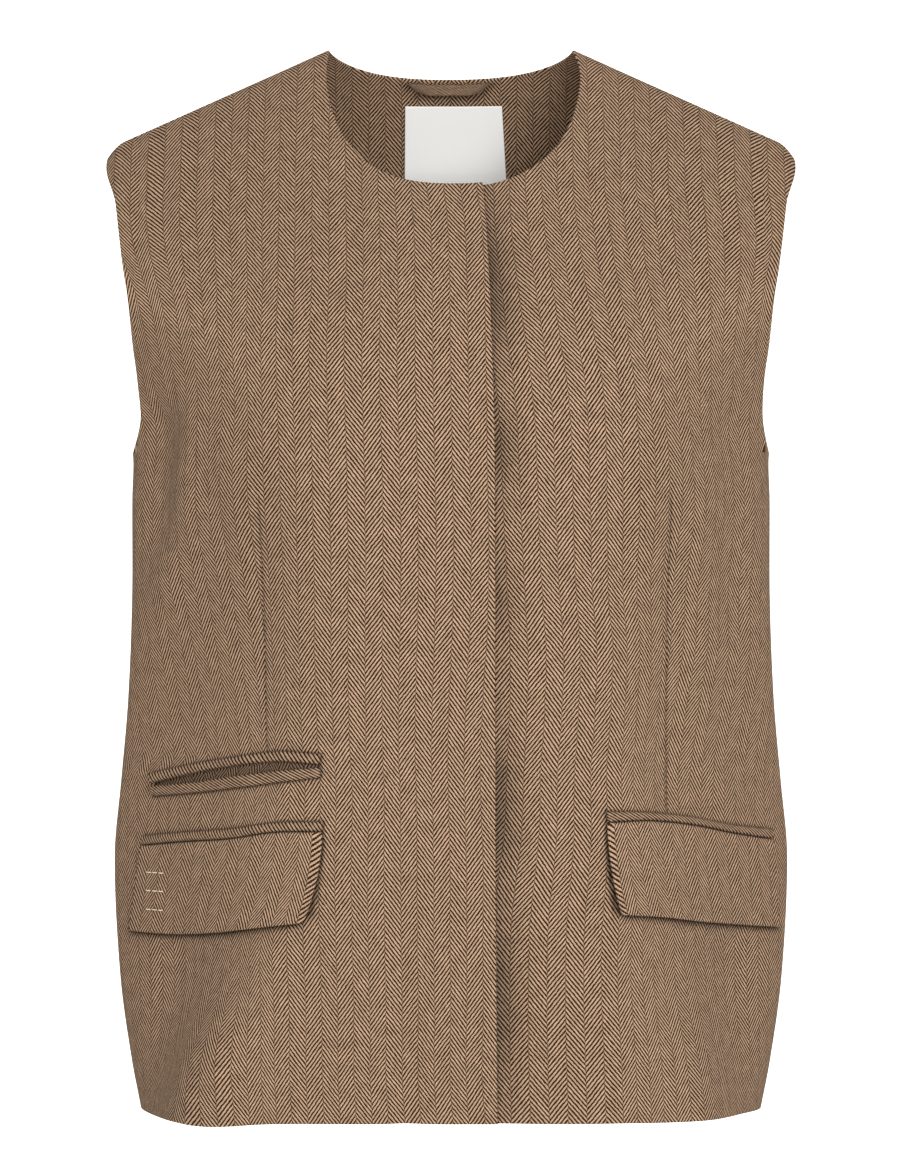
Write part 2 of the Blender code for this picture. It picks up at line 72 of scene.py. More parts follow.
SHOULDER_SLOPE = 0.448      # fall of the shoulder's ridge for each metre outward
RIDGE_STRAIGHT = 0.202      # the ridge is straight to here, then rounds down to the tip
RIDGE_ROUNDING = 50.0       # how fast it rounds, for each metre squared
SQUARENESS = {"front": 3.2, "back": 2.5}   # of a ring's two halves, where 2 is an ellipse
BACK_ARCH = 0.19            # fall from the ridge over which the back swells out
BACK_ARCH_POWER = 1.9       # 2 is a round arch, 1 is a straight slope
CHEST_PITCH = 0.45          # how far the chest slopes out for each metre down from the ridge
CHEST_BEND = 0.09           # and how strongly it bends over at the ridge
CORNER_POWER = 8.0          # how sharp the bends are between the front's flat and its slopes
ARMHOLE_SHARE = 0.90        # of the full depth that is left at the armhole's edge at the tip
ARMHOLE_POWER = 0.38        # how fast that share grows from the underarm up
ARMHOLE_CURVE = 2.5         # how squarely the armhole turns in with that share

NECK_CENTRE = 0.0015        # middle of the front neckline
NECK_REACH = 0.0792         # its greatest half width, just below the shoulder
FRONT_NECK = -0.0882        # its lowest height
NECK_SQUARENESS = 2.5       # of its low part, where 2 is an ellipse
NECK_CURL = 0.022           # fall over which it curls in to the high shoulder point
BACK_NECK = -0.0130         # lowest height of the back neckline
BACK_NECK_BOW = (2.6, 0.77)  # its curve: (1 - share^2.6)^0.77 of that, flat with easy ends

UNDERLAP_EDGE = -0.012      # x of the hidden edge of the left front
LAP_FADE = 0.036            # breadth over which the left front comes back out to the form
CORNER_SHARE = 0.4          # share of the rows above the underarm that end at the neck's corner

# Rings of the body form. pitch and bend shape the front's slope to the side seam.
Section = namedtuple("Section", "height side front back pitch bend")
SECTIONS = [Section(*row) for row in (
    (-0.656, 0.1920, 0.106, 0.104, 1.10, 0.30),
    (-0.625, 0.1980, 0.111, 0.107, 1.00, 0.20),
    (-0.575, 0.2050, 0.119, 0.112, 0.92, 0.09),
    (-0.500, 0.2086, 0.122, 0.115, 0.92, 0.09),
    (-0.452, 0.2045, 0.121, 0.111, 0.88, 0.09),
    (-0.403, 0.2003, 0.121, 0.106, 0.80, 0.10),
    (-0.340, 0.1978, 0.124, 0.103, 0.66, 0.15),
    (-0.279, 0.1976, 0.130, 0.105, 0.56, 0.22),
    (-0.250, 0.1972, 0.132, 0.108, 0.56, 0.24),
    (-0.225, 0.2022, 0.133, 0.110, 0.60, 0.22),
    (-0.194, 0.2177, 0.134, 0.112, 0.66, 0.20),
    (-0.146, 0.2532, 0.134, 0.113, 0.80, 0.20),
    (-0.098, 0.3150, 0.134, 0.112, 1.00, 0.20),
    (-0.069, 0.3846, 0.134, 0.110, 1.00, 0.20),
)]

EdgePlace = namedtuple("EdgePlace", "height x")
FRONT_EDGE = [EdgePlace(*row) for row in (
    (-0.656, 0.0280),
    (-0.520, 0.0268),
    (-0.330, 0.0264),
    (-0.230, 0.0258),
    (-0.130, 0.0222),
    (-0.087, 0.0195),
)]

# Soft folds: a line from one place to another, its half breadth, and how far it rises.
Fold = namedtuple("Fold", "x_top top x_low low breadth rise")
FRONT_FOLDS = [Fold(*row) for row in (
    (-0.178, -0.236, -0.183, -0.298, 0.016, -0.0070),   # hollow under the right arm
    (-0.160, -0.232, -0.176, -0.335, 0.012, 0.0030),    # ridge before it
    (0.173, -0.235, 0.176, -0.350, 0.014, -0.0030),     # hollow under the left arm
    (-0.115, -0.280, -0.112, -0.450, 0.010, -0.0014),   # right waist dart
    (0.132, -0.280, 0.130, -0.460, 0.010, -0.0014),     # left waist dart
    (-0.064, -0.085, -0.063, -0.145, 0.013, -0.0020),   # beside the neck
    (-0.113, -0.560, -0.148, -0.665, 0.021, 0.0060),    # ridge below the right pocket
    (-0.140, -0.630, -0.150, -0.665, 0.032, 0.0100),    # which swells towards the hem
    (-0.166, -0.560, -0.180, -0.640, 0.016, -0.0040),   # hollow outside that ridge
    (-0.030, -0.515, -0.027, -0.660, 0.012, -0.0035),   # hollow left of the centre at the hem
    (0.172, -0.555, 0.178, -0.660, 0.016, -0.0035),     # hollow below the left pocket
    (0.036, -0.130, 0.037, -0.170, 0.011, -0.0020),     # dips beside the front edge
    (0.037, -0.240, 0.037, -0.260, 0.011, -0.0018),
    (0.037, -0.450, 0.037, -0.485, 0.012, -0.0022),
    (0.038, -0.545, 0.039, -0.610, 0.012, -0.0018),
    (-0.075, -0.245, -0.080, -0.275, 0.050, 0.0030),    # fullness over the right bust
    (0.095, -0.245, 0.100, -0.275, 0.050, 0.0030),      # fullness over the left bust
)]
BACK_FOLDS = [Fold(*row) for row in (
    (0.004, -0.300, 0.000, -0.490, 0.045, -0.0040),     # hollow along the spine
    (-0.085, -0.150, -0.090, -0.190, 0.050, 0.0030),    # over the shoulder blades
    (0.088, -0.150, 0.090, -0.195, 0.050, 0.0030),
    (-0.150, -0.240, -0.112, -0.345, 0.015, -0.0035),   # pulls from the armholes
    (0.152, -0.245, 0.120, -0.325, 0.015, -0.0030),
    (-0.072, -0.500, -0.086, -0.660, 0.020, 0.0040),    # folds that run down to the hem
    (0.060, -0.520, 0.068, -0.660, 0.018, 0.0035),
    (0.132, -0.470, 0.140, -0.660, 0.020, -0.0040),
    (-0.150, -0.520, -0.156, -0.660, 0.017, -0.0035),
)]

# Finer creases that only this surface has.
FINE_FRONT_FOLDS = [Fold(*row) for row in (
    (-0.152, -0.262, -0.138, -0.310, 0.007, -0.0009),   # drag lines from the right armhole
    (-0.140, -0.240, -0.118, -0.282, 0.008, 0.0008),
    (0.150, -0.255, 0.139, -0.315, 0.007, -0.0009),     # and from the left one
    (0.160, -0.330, 0.152, -0.420, 0.008, 0.0008),
    (-0.152, -0.480, -0.170, -0.455, 0.008, 0.0007),
    (-0.122, -0.570, -0.120, -0.640, 0.008, -0.0009),   # below the right flap
    (-0.084, -0.560, -0.080, -0.630, 0.010, -0.0008),
    (0.100, -0.560, 0.104, -0.650, 0.011, -0.0010),     # below the left flap
    (0.142, -0.570, 0.150, -0.640, 0.009, 0.0009),
    (0.145, -0.430, 0.170, -0.462, 0.010, 0.0012),      # above the left flap
    (-0.050, -0.330, -0.048, -0.400, 0.014, -0.0006),
    (0.078, -0.330, 0.080, -0.410, 0.014, -0.0006),
)]
FINE_BACK_FOLDS = [Fold(*row) for row in (
    (-0.120, -0.300, -0.090, -0.390, 0.008, -0.0012),   # pulls towards the waist
    (0.110, -0.290, 0.084, -0.370, 0.008, 0.0011),
    (-0.030, -0.540, -0.036, -0.650, 0.010, -0.0011),
    (0.100, -0.560, 0.106, -0.655, 0.010, 0.0012),
    (-0.118, -0.580, -0.124, -0.650, 0.009, 0.0010),
    (0.020, -0.080, 0.022, -0.150, 0.016, -0.0007),
    (-0.160, -0.390, -0.150, -0.470, 0.010, -0.0012),
    (0.165, -0.380, 0.158, -0.450, 0.010, -0.0010),
)]

# The soft unevenness of pressed wool: the height of a wave, then how it runs across and up and
# where it starts, twice, as each wave is two sines on each other.
Wave = namedtuple("Wave", "rise across up start across_too up_too start_too")
WAVES = [Wave(*row) for row in (
    (0.00030, 38.0, 11.0, 0.7, -9.0, 23.0, 1.9),
    (0.00014, 71.0, -26.0, 0.0, 17.0, 53.0, 0.4),
)]
FOLDS_FADE = 0.045          # depth of the form over which folds fade in from the seams

# The sewn line of each waist dart, how much cloth it takes in, and the heights between which
# that cloth comes free again, hidden under the pocket.
Dart = namedtuple("Dart", "panel x_top top x_low low intake free_top free_low")
DARTS = [Dart(*row) for row in (
    ("front_right", -0.1155, -0.2796, -0.1115, -0.4380, 0.0085, -0.4340, -0.4500),
    ("front_left", 0.1328, -0.2796, 0.1308, -0.4720, 0.0085, -0.4730, -0.5250),
)]
DART_GROOVE = Fold(0, 0, 0, 0, 0.0008, -0.0003)   # breadth and depth of the line itself

# Where the right front's edge lifts off the left front.
Lift = namedtuple("Lift", "height spread rise")
EDGE_LIFTS = [Lift(*row) for row in (
    (-0.150, 0.034, 0.0022),
    (-0.250, 0.022, 0.0016),
    (-0.340, 0.020, 0.0010),
    (-0.466, 0.032, 0.0024),
    (-0.580, 0.045, 0.0018),
)]
LIFT_BREADTH = 0.016        # how far in from the edge the lift reaches

# What is laid on the fronts: x at its outer and inner end along the top and along the bottom,
# then the heights of its top and of its bottom edge at even steps from the outer end to the
# inner one, the radius of its lower inner corner, its wall, how far it stands off at the bottom
# and inner end, and how broadly its edges are rounded.
Patch = namedtuple("Patch", "name x_top x_low tops lows radius wall stand edge")
WELTS = [Patch(*row) for row in (
    ("ticket_welt_upper", (-0.1842, -0.0776), (-0.1828, -0.0780),
     (-0.4475, -0.4409, -0.4359, -0.4317, -0.4330),
     (-0.4537, -0.4466, -0.4412, -0.4379, -0.4392), 0.0, 0.0024, 0.0003, 0.0022),
    ("ticket_welt_lower", (-0.1842, -0.0776), (-0.1820, -0.0776),
     (-0.4553, -0.4520, -0.4473, -0.4434, -0.4410),
     (-0.4615, -0.4585, -0.4546, -0.4506, -0.4472), 0.0, 0.0024, 0.0, 0.0020),
)]
PIPINGS = [Patch(*row) for row in (
    ("flap_right_piping", (-0.1880, -0.0762), (-0.1892, -0.0764),
     (-0.4857, -0.4820, -0.4789, -0.4743, -0.4734),
     (-0.4915, -0.4878, -0.4848, -0.4800, -0.4792), 0.0, 0.0028, 0.0, 0.0022),
    ("flap_left_piping", (0.1966, 0.0925), (0.1968, 0.0930),
     (-0.4821, -0.4782, -0.4723, -0.4685, -0.4676),
     (-0.4881, -0.4831, -0.4770, -0.4735, -0.4739), 0.0, 0.0028, 0.0, 0.0022),
)]
FLAPS = [Patch(*row) for row in (
    ("flap_right", (-0.1894, -0.0766), (-0.1962, -0.0850),
     (-0.4921, -0.4884, -0.4854, -0.4806, -0.4798),
     (-0.5447, -0.5449, -0.5419, -0.5372, -0.5334), 0.006, 0.0024, 0.0034, 0.0015),
    ("flap_left", (0.1968, 0.0930), (0.2000, 0.0995),
     (-0.4887, -0.4837, -0.4776, -0.4741, -0.4745),
     (-0.5427, -0.5394, -0.5357, -0.5314, -0.5290), 0.003, 0.0024, 0.0040, 0.0015),
)]
INNER_CURVE = 1.8           # how late a patch's inner end turns towards its lower place
STAND_CURVE = 1.5           # how late it comes to stand off, on its way down
STAND_OUTER = 0.25          # share of its stand that is left at its outer end

# How a strip's cloth lies: where its weave starts across the ribs, how far it is skewed and how
# closely its lines follow each other.
Lay = namedtuple("Lay", "start skew closeness")
STRIP_LAYS = {
    "ticket_welt_upper": Lay(0.0022, -2.25, 1.15),
    "ticket_welt_lower": Lay(0.0016, -3.10, 1.00),
    "flap_right_piping": Lay(0.0022, -2.25, 1.35),
    "flap_left_piping": Lay(0.0022, -3.10, 1.00),
    "hanger_loop": Lay(0.0000, 3.00, 1.20),
}

# How a flap's cloth lies: the share of its length, at the inner end, over which its edge rolls
# under, and how far its ribs run along the whole of it and in the roll.
FlapLay = namedtuple("FlapLay", "roll reach slow")
FLAP_LAYS = {
    "flap_right": FlapLay(0.055, -0.1665, -0.06),
    "flap_left": FlapLay(0.042, 0.1598, 0.06),
}

# Shade painted into the cloth's colour where a seam, a mouth or a lifted edge lies deep: its breadth
# and its strength.
Shade = namedtuple("Shade", "breadth strength")
DART_SHADE = Shade(0.0009, 0.45)
OUTLINE_SHADE = Shade(0.0010, 0.62)      # round each piece that is laid on
STRIP_EDGE_SHADE = Shade(0.0007, 0.50)   # along the strips' own edges
FLAP_EDGE_SHADE = Shade(0.0004, 0.25)    # and along the flaps'
FLAP_SHADE = Shade(0.0030, 0.85)         # below a flap and beside its inner end
FLAP_SHADE_TOP = 0.25                    # share of that breadth at the top of its inner end
MOUTH_SHADE = Shade(0.0012, 0.46)        # in the ticket pocket's mouth
MOUTH_DEPTH = 0.0022                     # how far that mouth sinks in
MOUTH_END = 0.02                         # share of its length over which it closes at each end
LEE_SHADE = Shade(0.0130, 0.56)          # beside the right front's edge, where it lifts
LEE_LEAST = 0.30                         # share of it that is left where it doesn't
EDGE_SHADE = Shade(0.0018, 0.52)         # and close along the whole of that edge
LOOP_SHADE = Shade(0.0020, 0.60)         # below the hanger loop

# How the ribs of each front wander: how far aside they lie at each height, and how much closer
# they lie than on the form, as far out as the darts.
Ribs = namedtuple("Ribs", "height aside spread")
RIBS = {
    "front_right": [Ribs(*row) for row in (
        (-0.656, -0.0006, 0.080),
        (-0.626, 0.0014, 0.088),
        (-0.590, 0.0010, 0.080),
        (-0.529, 0.0014, 0.062),
        (-0.500, 0.0014, 0.060),
        (-0.456, 0.0025, 0.088),
        (-0.432, 0.0029, 0.070),
        (-0.408, 0.0022, 0.046),
        (-0.383, 0.0012, 0.022),
        (-0.359, 0.0000, 0.000),
        (-0.310, -0.0008, -0.006),
        (-0.262, 0.0000, 0.000),
        (-0.200, 0.0011, -0.013),
        (-0.150, 0.0016, 0.004),
        (-0.116, 0.0026, 0.013),
        (-0.092, 0.0052, 0.040),
    )],
    "front_left": [Ribs(*row) for row in (
        (-0.656, 0.0030, -0.085),
        (-0.626, 0.0036, -0.080),
        (-0.590, 0.0035, -0.065),
        (-0.553, 0.0027, -0.055),
        (-0.529, 0.0015, -0.050),
        (-0.505, -0.0015, -0.040),
        (-0.480, -0.0061, 0.000),
        (-0.444, -0.0086, 0.030),
        (-0.408, -0.0093, 0.000),
        (-0.371, -0.0085, -0.028),
        (-0.335, -0.0081, 0.006),
        (-0.300, -0.0064, 0.008),
        (-0.262, -0.0045, 0.000),
        (-0.238, -0.0032, -0.008),
        (-0.213, -0.0005, -0.020),
        (-0.189, 0.0021, -0.007),
        (-0.165, 0.0037, 0.017),
        (-0.141, 0.0058, 0.040),
        (-0.116, 0.0080, 0.053),
        (-0.092, 0.0083, 0.080),
    )],
}
SPREAD_TO = 0.12            # x of the darts, past which the ribs spread no more

# How much more cloth than the form's own is pressed in where a front turns to its side: the
# share at each height, and the places across between which it comes in and goes out again.
Press = namedtuple("Press", "height share")
PRESSED_IN = [Press(*row) for row in (
    (-0.656, 0.30),
    (-0.570, 0.36),
    (-0.500, 0.36),
    (-0.400, 0.17),
    (-0.340, 0.00),
    (-0.280, -0.18),
    (-0.220, 0.00),
    (-0.160, 0.12),
    (-0.100, 0.02),
)]
PRESS_FROM = (0.096, 0.110)
PRESS_TO = (0.120, 0.160)
GRAIN_LIMIT = 0.97          # share of the width at the underarm past which the grain bends in
CUT_SHIFTS = {"front_right": 0.0008, "front_left": 0.0050, "back": 0.0}   # of the ribs from x = 0

# The label and the hanger loop, on the hollow side of the back.
LABEL_TOP = -0.0275
LABEL_LOW = -0.0800
LABEL_X_TOP = (-0.0293, 0.0326)   # x of its two ends along the top, and along the bottom
LABEL_X_LOW = (-0.0298, 0.0360)
LABEL_WALL = 0.0010
LABEL_EDGE = 0.0005               # breadth over which its edges are rounded

LOOP_X_TOP = (-0.0290, 0.0254)    # x of the loop's ends in the neck seam
LOOP_X_LOW = (-0.0206, 0.0180)    # and of the straight part of its lower edge
LOOP_BELOW_SEAM = 0.0008          # its upper edge, below the neckline
LOOP_LOW = -0.0196                # height of its lower edge
LOOP_WALL = 0.0016
LOOP_EDGE = 0.0014
LOOP_BOW = 0.0026                 # how far its middle stands off the back
BOW_END = 0.2                     # share of its length over which it comes to stand off
LOOP_DROP = 0.0030                # how far below it the back lies that shows under its edge

# ---- How finely the cloth is divided -----------------------------------------------------------

CLOTH_STEP = 0.0028         # between rows and between columns of a panel
PATCH_STEP = 0.0011         # the same on a flap, welt, piping, loop or label
PATCH_CURVE = 1.2           # how much longer a patch may be along its curve than across
INSIDE_STEP = 0.7 * PATCH_STEP   # between the rows of what is sewn on the hollow side
POCKET_ROWS = (-0.496, -0.430, 0.0009)   # closer rows where the pockets are sewn in
FLAP_ROWS = (-0.549, -0.528, 0.0010)     # and along the flaps' lower edges
FLAP_COLUMNS = {"front_right": (-0.090, -0.073, 0.0009), "front_left": (0.089, 0.104, 0.0009)}
EDGE_ROUND = 0.0011         # breadth over which a panel's turned edge is rounded
ROUND_STEPS = (0.0, 0.07, 0.28, 0.6)     # shares of that breadth with a row or column of their own
# Closer columns beside a dart, as shares of the front's breadth.
DART_COLUMNS = (-0.0105, -0.0062, -0.0031, 0.0031, 0.0062, 0.0105)
NECK_ROWS = 1.4             # how much closer the rows follow each other near the neck's corner
LEAST_STEP = 0.00004        # places closer than this are one
NORMAL_STEP = 0.0004        # across which a slope of the form is measured
EDGE_STEP = 0.0001          # the same along the shoulder and the side
ON_EDGE = 2e-6              # what is nearer than this to the ridge or the side seam is on it
PATH_PARTS = 40             # chords when a length of cloth is measured
FINE = 400                  # samples when a ring's length is measured

# ---- The stitches on the flap, the camera and the studio ---------------------------------------

TACK_HEIGHTS = (-0.5076, -0.5187, -0.5302)   # three short level rows of tacking on the right flap
TACK_X = (-0.1828, -0.1788, -0.1748)         # and the middles of their stitches
TACK_LENGTH = 0.0040
TACK_RADIUS = 0.00034
TACK_BEND = math.radians(48.0)   # how far a stitch turns from where it comes up to its crown
TACK_SUNK = 0.965           # share of its bend's height from which its ends lie in the cloth

CAMERA_PLACE = (-0.0006, -3.4, -0.3336)
CAMERA_SENSOR = 36.0        # mm, along the long side of the picture
CAMERA_LENS = 167.9         # mm
FLOOR_HEIGHT = -0.95
SWEEP_SIZE = 12.0           # of the floor, and of the wall that it sweeps up into
SWEEP_ROUND = 1.2           # radius of the corner between them
SWEEP_NEAR = 0.001          # what is nearer than this to the paper's rear edge is on it
ROOM_COLOUR = (1.0, 0.99, 0.975, 1.0)

SoftBox = namedtuple("SoftBox", "name place target size")
KEY_LIGHT = SoftBox("key", (0.75, -3.2, 0.05), (0.0, 0.0, CAMERA_PLACE[2]), 1.1)
FILL_LIGHT = SoftBox("fill", (-0.75, -3.2, -0.05), (0.0, 0.0, CAMERA_PLACE[2]), 1.1)
WALL_LIGHT = SoftBox("wall", (0.0, 3.2, 1.7), (0.0, 5.2, -0.8), 1.6)


# ---- Small helpers -----------------------------------------------------------------------------

def blend(a, b, share):
    return a + (b - a) * share


def ease(share):
    """Smooth step from 0 to 1."""
    share = np.clip(share, 0.0, 1.0)
    return share * share * (3.0 - 2.0 * share)


def round_power(value, power):
    """The other side of a curve |a|^power + |b|^power = 1."""
    return (1.0 - np.clip(np.abs(value), 0.0, 1.0) ** power) ** (1.0 / power)


def smooth_through(at, value, place):
    """A smooth curve through values at rising places."""
    before = np.r_[0, 0:len(at) - 1]
    after = np.r_[1:len(at), len(at) - 1]
    slope = (value[after] - value[before]) / (at[after] - at[before])
    place = np.clip(place, at[0], at[-1])
    low = np.clip(np.searchsorted(at, place) - 1, 0, len(at) - 2)
    span = at[low + 1] - at[low]
    t = (place - at[low]) / span
    return ((2 * t**3 - 3 * t**2 + 1) * value[low] + (t**3 - 2 * t**2 + t) * slope[low] * span
            + (3 * t**2 - 2 * t**3) * value[low + 1] + (t**3 - t**2) * slope[low + 1] * span)


def read(table, column, height):
    """A column's value at each height: a smooth curve through the table's rows."""
    at = np.array([row.height for row in table])
    return smooth_through(at, np.array([getattr(row, column) for row in table]), height)


def linear(code):
    """An sRGB hex colour as the linear one that Blender works with."""
    parts = [int(code[k:k + 2], 16) / 255.0 for k in (1, 3, 5)]
    return tuple(p / 12.92 if p <= 0.04045 else ((p + 0.055) / 1.055) ** 2.4 for p in parts)


# ---- The body form -----------------------------------------------------------------------------

def ridge(x):
    """Height of the shoulder's ridge, which is rounded over the neck's opening."""
    over_neck = SHOULDER_SLOPE * (NECK_HALF**2 - x**2) / (2.0 * NECK_HALF)
    rounding = np.maximum(0.0, np.abs(x) - RIDGE_STRAIGHT)
    shoulder = (NECK_HALF - np.abs(x)) * SHOULDER_SLOPE - RIDGE_ROUNDING * rounding**2
    return np.where(np.abs(x) < NECK_HALF, over_neck, shoulder)


TIP = float(ridge(TIP_HALF))


def half_width(height):
    return read(SECTIONS, "side", height)


def side_x(height):
    """The x of the side seam, and above the underarm that of the armhole's edge."""
    rise = np.clip((height - UNDERARM) / (TIP - UNDERARM), 0.0, 1.0)
    return half_width(height) * round_power(ARMHOLE_SHARE * rise**ARMHOLE_POWER, ARMHOLE_CURVE)


def rounded_least(values):
    """The least of some lengths, which passes smoothly from one to the next."""
    least = np.maximum(np.minimum.reduce(values), 0.0)
    share = sum((least / np.maximum(value, 1e-9)) ** CORNER_POWER for value in values)
    return least * np.maximum(share, 1e-9) ** (-1.0 / CORNER_POWER)


def girth_depth(face, x, height):
    """How far a ring of the form stands out, before it is arched back to the shoulder's ridge."""
    room = np.maximum(0.0, half_width(height) - np.abs(x))
    ring = read(SECTIONS, face, height) * round_power(x / half_width(height), SQUARENESS[face])
    if face == "back":
        return ring
    side = read(SECTIONS, "pitch", height) * room + read(SECTIONS, "bend", height) * np.sqrt(room)
    return rounded_least((ring, side))


def depth(face, x, height):
    """How far the form stands out from the plane of the side seams."""
    fall = np.maximum(0.0, ridge(x) - height)
    ring = girth_depth(face, x, height)
    if face == "back":
        return ring * round_power(1.0 - np.minimum(fall / BACK_ARCH, 1.0), BACK_ARCH_POWER)
    return rounded_least((ring, CHEST_PITCH * fall + CHEST_BEND * np.sqrt(fall)))


def form_points(face, x, height):
    out = depth(face, x, height)
    return np.stack([x, -out if face == "front" else out, height], axis=-1)


def form_normals(face, x, height):
    """Outward normals of the form. On the ridge and on the side seam they have no y."""
    room = np.minimum(ridge(x) - height, half_width(height) - np.abs(x))
    step = np.clip(room / 2.0, 1e-6, NORMAL_STEP)
    across = (depth(face, x + step, height) - depth(face, x - step, height)) / (2.0 * step)
    upward = (depth(face, x, height + step) - depth(face, x, height - step)) / (2.0 * step)
    facing = np.full_like(x, -1.0 if face == "front" else 1.0)
    normals = np.stack([-across, facing, -upward], axis=-1)
    side = np.sign(x)
    drop = (ridge(np.abs(x) - EDGE_STEP) - ridge(np.abs(x) + EDGE_STEP)) / (2.0 * EDGE_STEP)
    widen = (side_x(height + EDGE_STEP) - side_x(height - EDGE_STEP)) / (2.0 * EDGE_STEP)
    up = np.stack([side * drop, np.zeros_like(x), np.ones_like(x)], axis=-1)
    out = np.stack([side, np.zeros_like(x), -widen], axis=-1)
    on_ridge = (ridge(x) - height < ON_EDGE)[..., None]
    on_side = (half_width(height) - np.abs(x) < ON_EDGE) & (height <= UNDERARM + 1e-6)
    on_side = on_side[..., None]
    normals = np.where(on_side, out, np.where(on_ridge, up, normals))
    return normals / np.linalg.norm(normals, axis=-1, keepdims=True)


def off_line(fold, x, height):
    """Distance of each place from a fold's line."""
    run_x, run_z = fold.x_low - fold.x_top, fold.low - fold.top
    share = ((x - fold.x_top) * run_x + (height - fold.top) * run_z) / (run_x**2 + run_z**2)
    share = np.clip(share, 0.0, 1.0)
    return np.hypot(x - fold.x_top - run_x * share, height - fold.top - run_z * share)


def fold_rise(folds, x, height):
    """How far folds lift the cloth at each place."""
    rise = np.zeros_like(x)
    for fold in folds:
        rise += fold.rise * np.exp(-((off_line(fold, x, height) / fold.breadth) ** 2))
    return rise


def hand(x, height):
    """The soft unevenness of pressed wool: long waves under half a millimetre high."""
    return sum(wave.rise * np.sin(wave.across * x + wave.up * height + wave.start)
               * np.sin(wave.across_too * x + wave.up_too * height + wave.start_too)
               for wave in WAVES)


def edge_x(height):
    return read(FRONT_EDGE, "x", height)


def lifted(height):
    """How far the right front's edge lifts at each height."""
    return sum(place.rise * np.exp(-(((height - place.height) / place.spread) ** 2))
               for place in EDGE_LIFTS)


def edge_lift(x, height):
    """How far the right front's edge lifts off the left front."""
    near = ease(1.0 - (edge_x(height) - x) / LIFT_BREADTH)
    return lifted(height) * near


def dart_line(dart):
    return Fold(dart.x_top, dart.top, dart.x_low, dart.low, DART_GROOVE.breadth, DART_GROOVE.rise)


def panel_rise(panel, x, height):
    """How far a panel's outer face stands off the form."""
    face = "back" if panel == "back" else "front"
    folds = BACK_FOLDS + FINE_BACK_FOLDS if panel == "back" else FRONT_FOLDS + FINE_FRONT_FOLDS
    fade = ease(depth(face, x, height) / FOLDS_FADE)
    rise = (fold_rise(folds, x, height) + hand(x, height)) * fade
    if panel == "back":
        return rise
    if panel == "front_right":
        return rise + edge_lift(x, height)
    tuck = 1.0 - ease((x - edge_x(height)) / LAP_FADE)
    return rise - tuck * (WALL + LAP_GAP)


def panel_points(panel, x, height, out=0.0):
    """Points on a panel's outer face, moved out along the form's normals."""
    face = "back" if panel == "back" else "front"
    off = (panel_rise(panel, x, height) + out)[..., None]
    return form_points(face, x, height) + form_normals(face, x, height) * off


# ---- Where the pieces that are laid on the fronts lie ------------------------------------------

def curve_through(values, share):
    """A value on a smooth curve through values at even steps."""
    steps = np.arange(len(values))
    return smooth_through(steps, np.array(values), share * steps[-1])


def corner_rise(share, length, radius):
    """How far the lower edge rises where its inner corner is rounded."""
    past = np.clip(length * share - (length - radius), 0.0, radius)
    return radius - np.sqrt(radius**2 - past**2)


def patch_places(patch, along, down):
    """x and height of places on a patch, by their shares along it and down it."""
    length = abs(patch.x_top[1] - patch.x_top[0])
    top = curve_through(patch.tops, along)
    low = curve_through(patch.lows, along) + corner_rise(along, length, patch.radius)
    outer_x = blend(patch.x_top[0], patch.x_low[0], down)
    inner_x = blend(patch.x_top[1], patch.x_low[1], down**INNER_CURVE)
    return blend(outer_x, inner_x, along), blend(top, low, down)


def off_path(path_x, path_height, x, height):
    """Distance of each place from a path of points."""
    gap = np.full(x.shape, np.inf)
    for x_a, height_a, x_b, height_b in zip(path_x, path_height, path_x[1:], path_height[1:]):
        if (x_a, height_a) != (x_b, height_b):
            chord = Fold(x_a, height_a, x_b, height_b, 0, 0)
            gap = np.minimum(gap, off_line(chord, x, height))
    return gap


def patch_rim(patch, sides):
    """A path along some of a patch's edges: its top, its inner end, its bottom and its outer end."""
    share = np.linspace(0.0, 1.0, 17)
    edges = {"top": (share, 0 * share), "inner": (0 * share + 1, share),
             "bottom": (share[::-1], 0 * share + 1), "outer": (0 * share, share[::-1])}
    along, down = (np.concatenate([edges[side][k] for side in sides]) for k in (0, 1))
    return patch_places(patch, along, down)


def in_mouth(x, height):
    """1 in the mouth between the ticket pocket's welts, and 0 outside it."""
    upper, lower = WELTS
    share = (x - upper.x_top[0]) / (upper.x_top[1] - upper.x_top[0])
    inside = np.clip(share, 0.0, 1.0)
    room = np.minimum(curve_through(upper.lows, inside) - height,
                      height - curve_through(lower.tops, inside))
    ends = ease(np.minimum(share, 1.0 - share) / MOUTH_END)
    return ease(room / MOUTH_SHADE.breadth + 0.5) * ends


def grooves(panel, x, height):
    """How far a panel sinks in along its dart and in the ticket pocket's mouth."""
    if panel == "back":
        return np.zeros_like(x)
    sunk = fold_rise([dart_line(dart) for dart in DARTS if dart.panel == panel], x, height)
    if panel == "front_right":
        sunk = sunk - MOUTH_DEPTH * in_mouth(x, height)
    return sunk


def soft(shade, distance):
    """Painted shade that fades with the distance from where it is deepest."""
    return shade.strength * np.exp(-((distance / shade.breadth) ** 2))


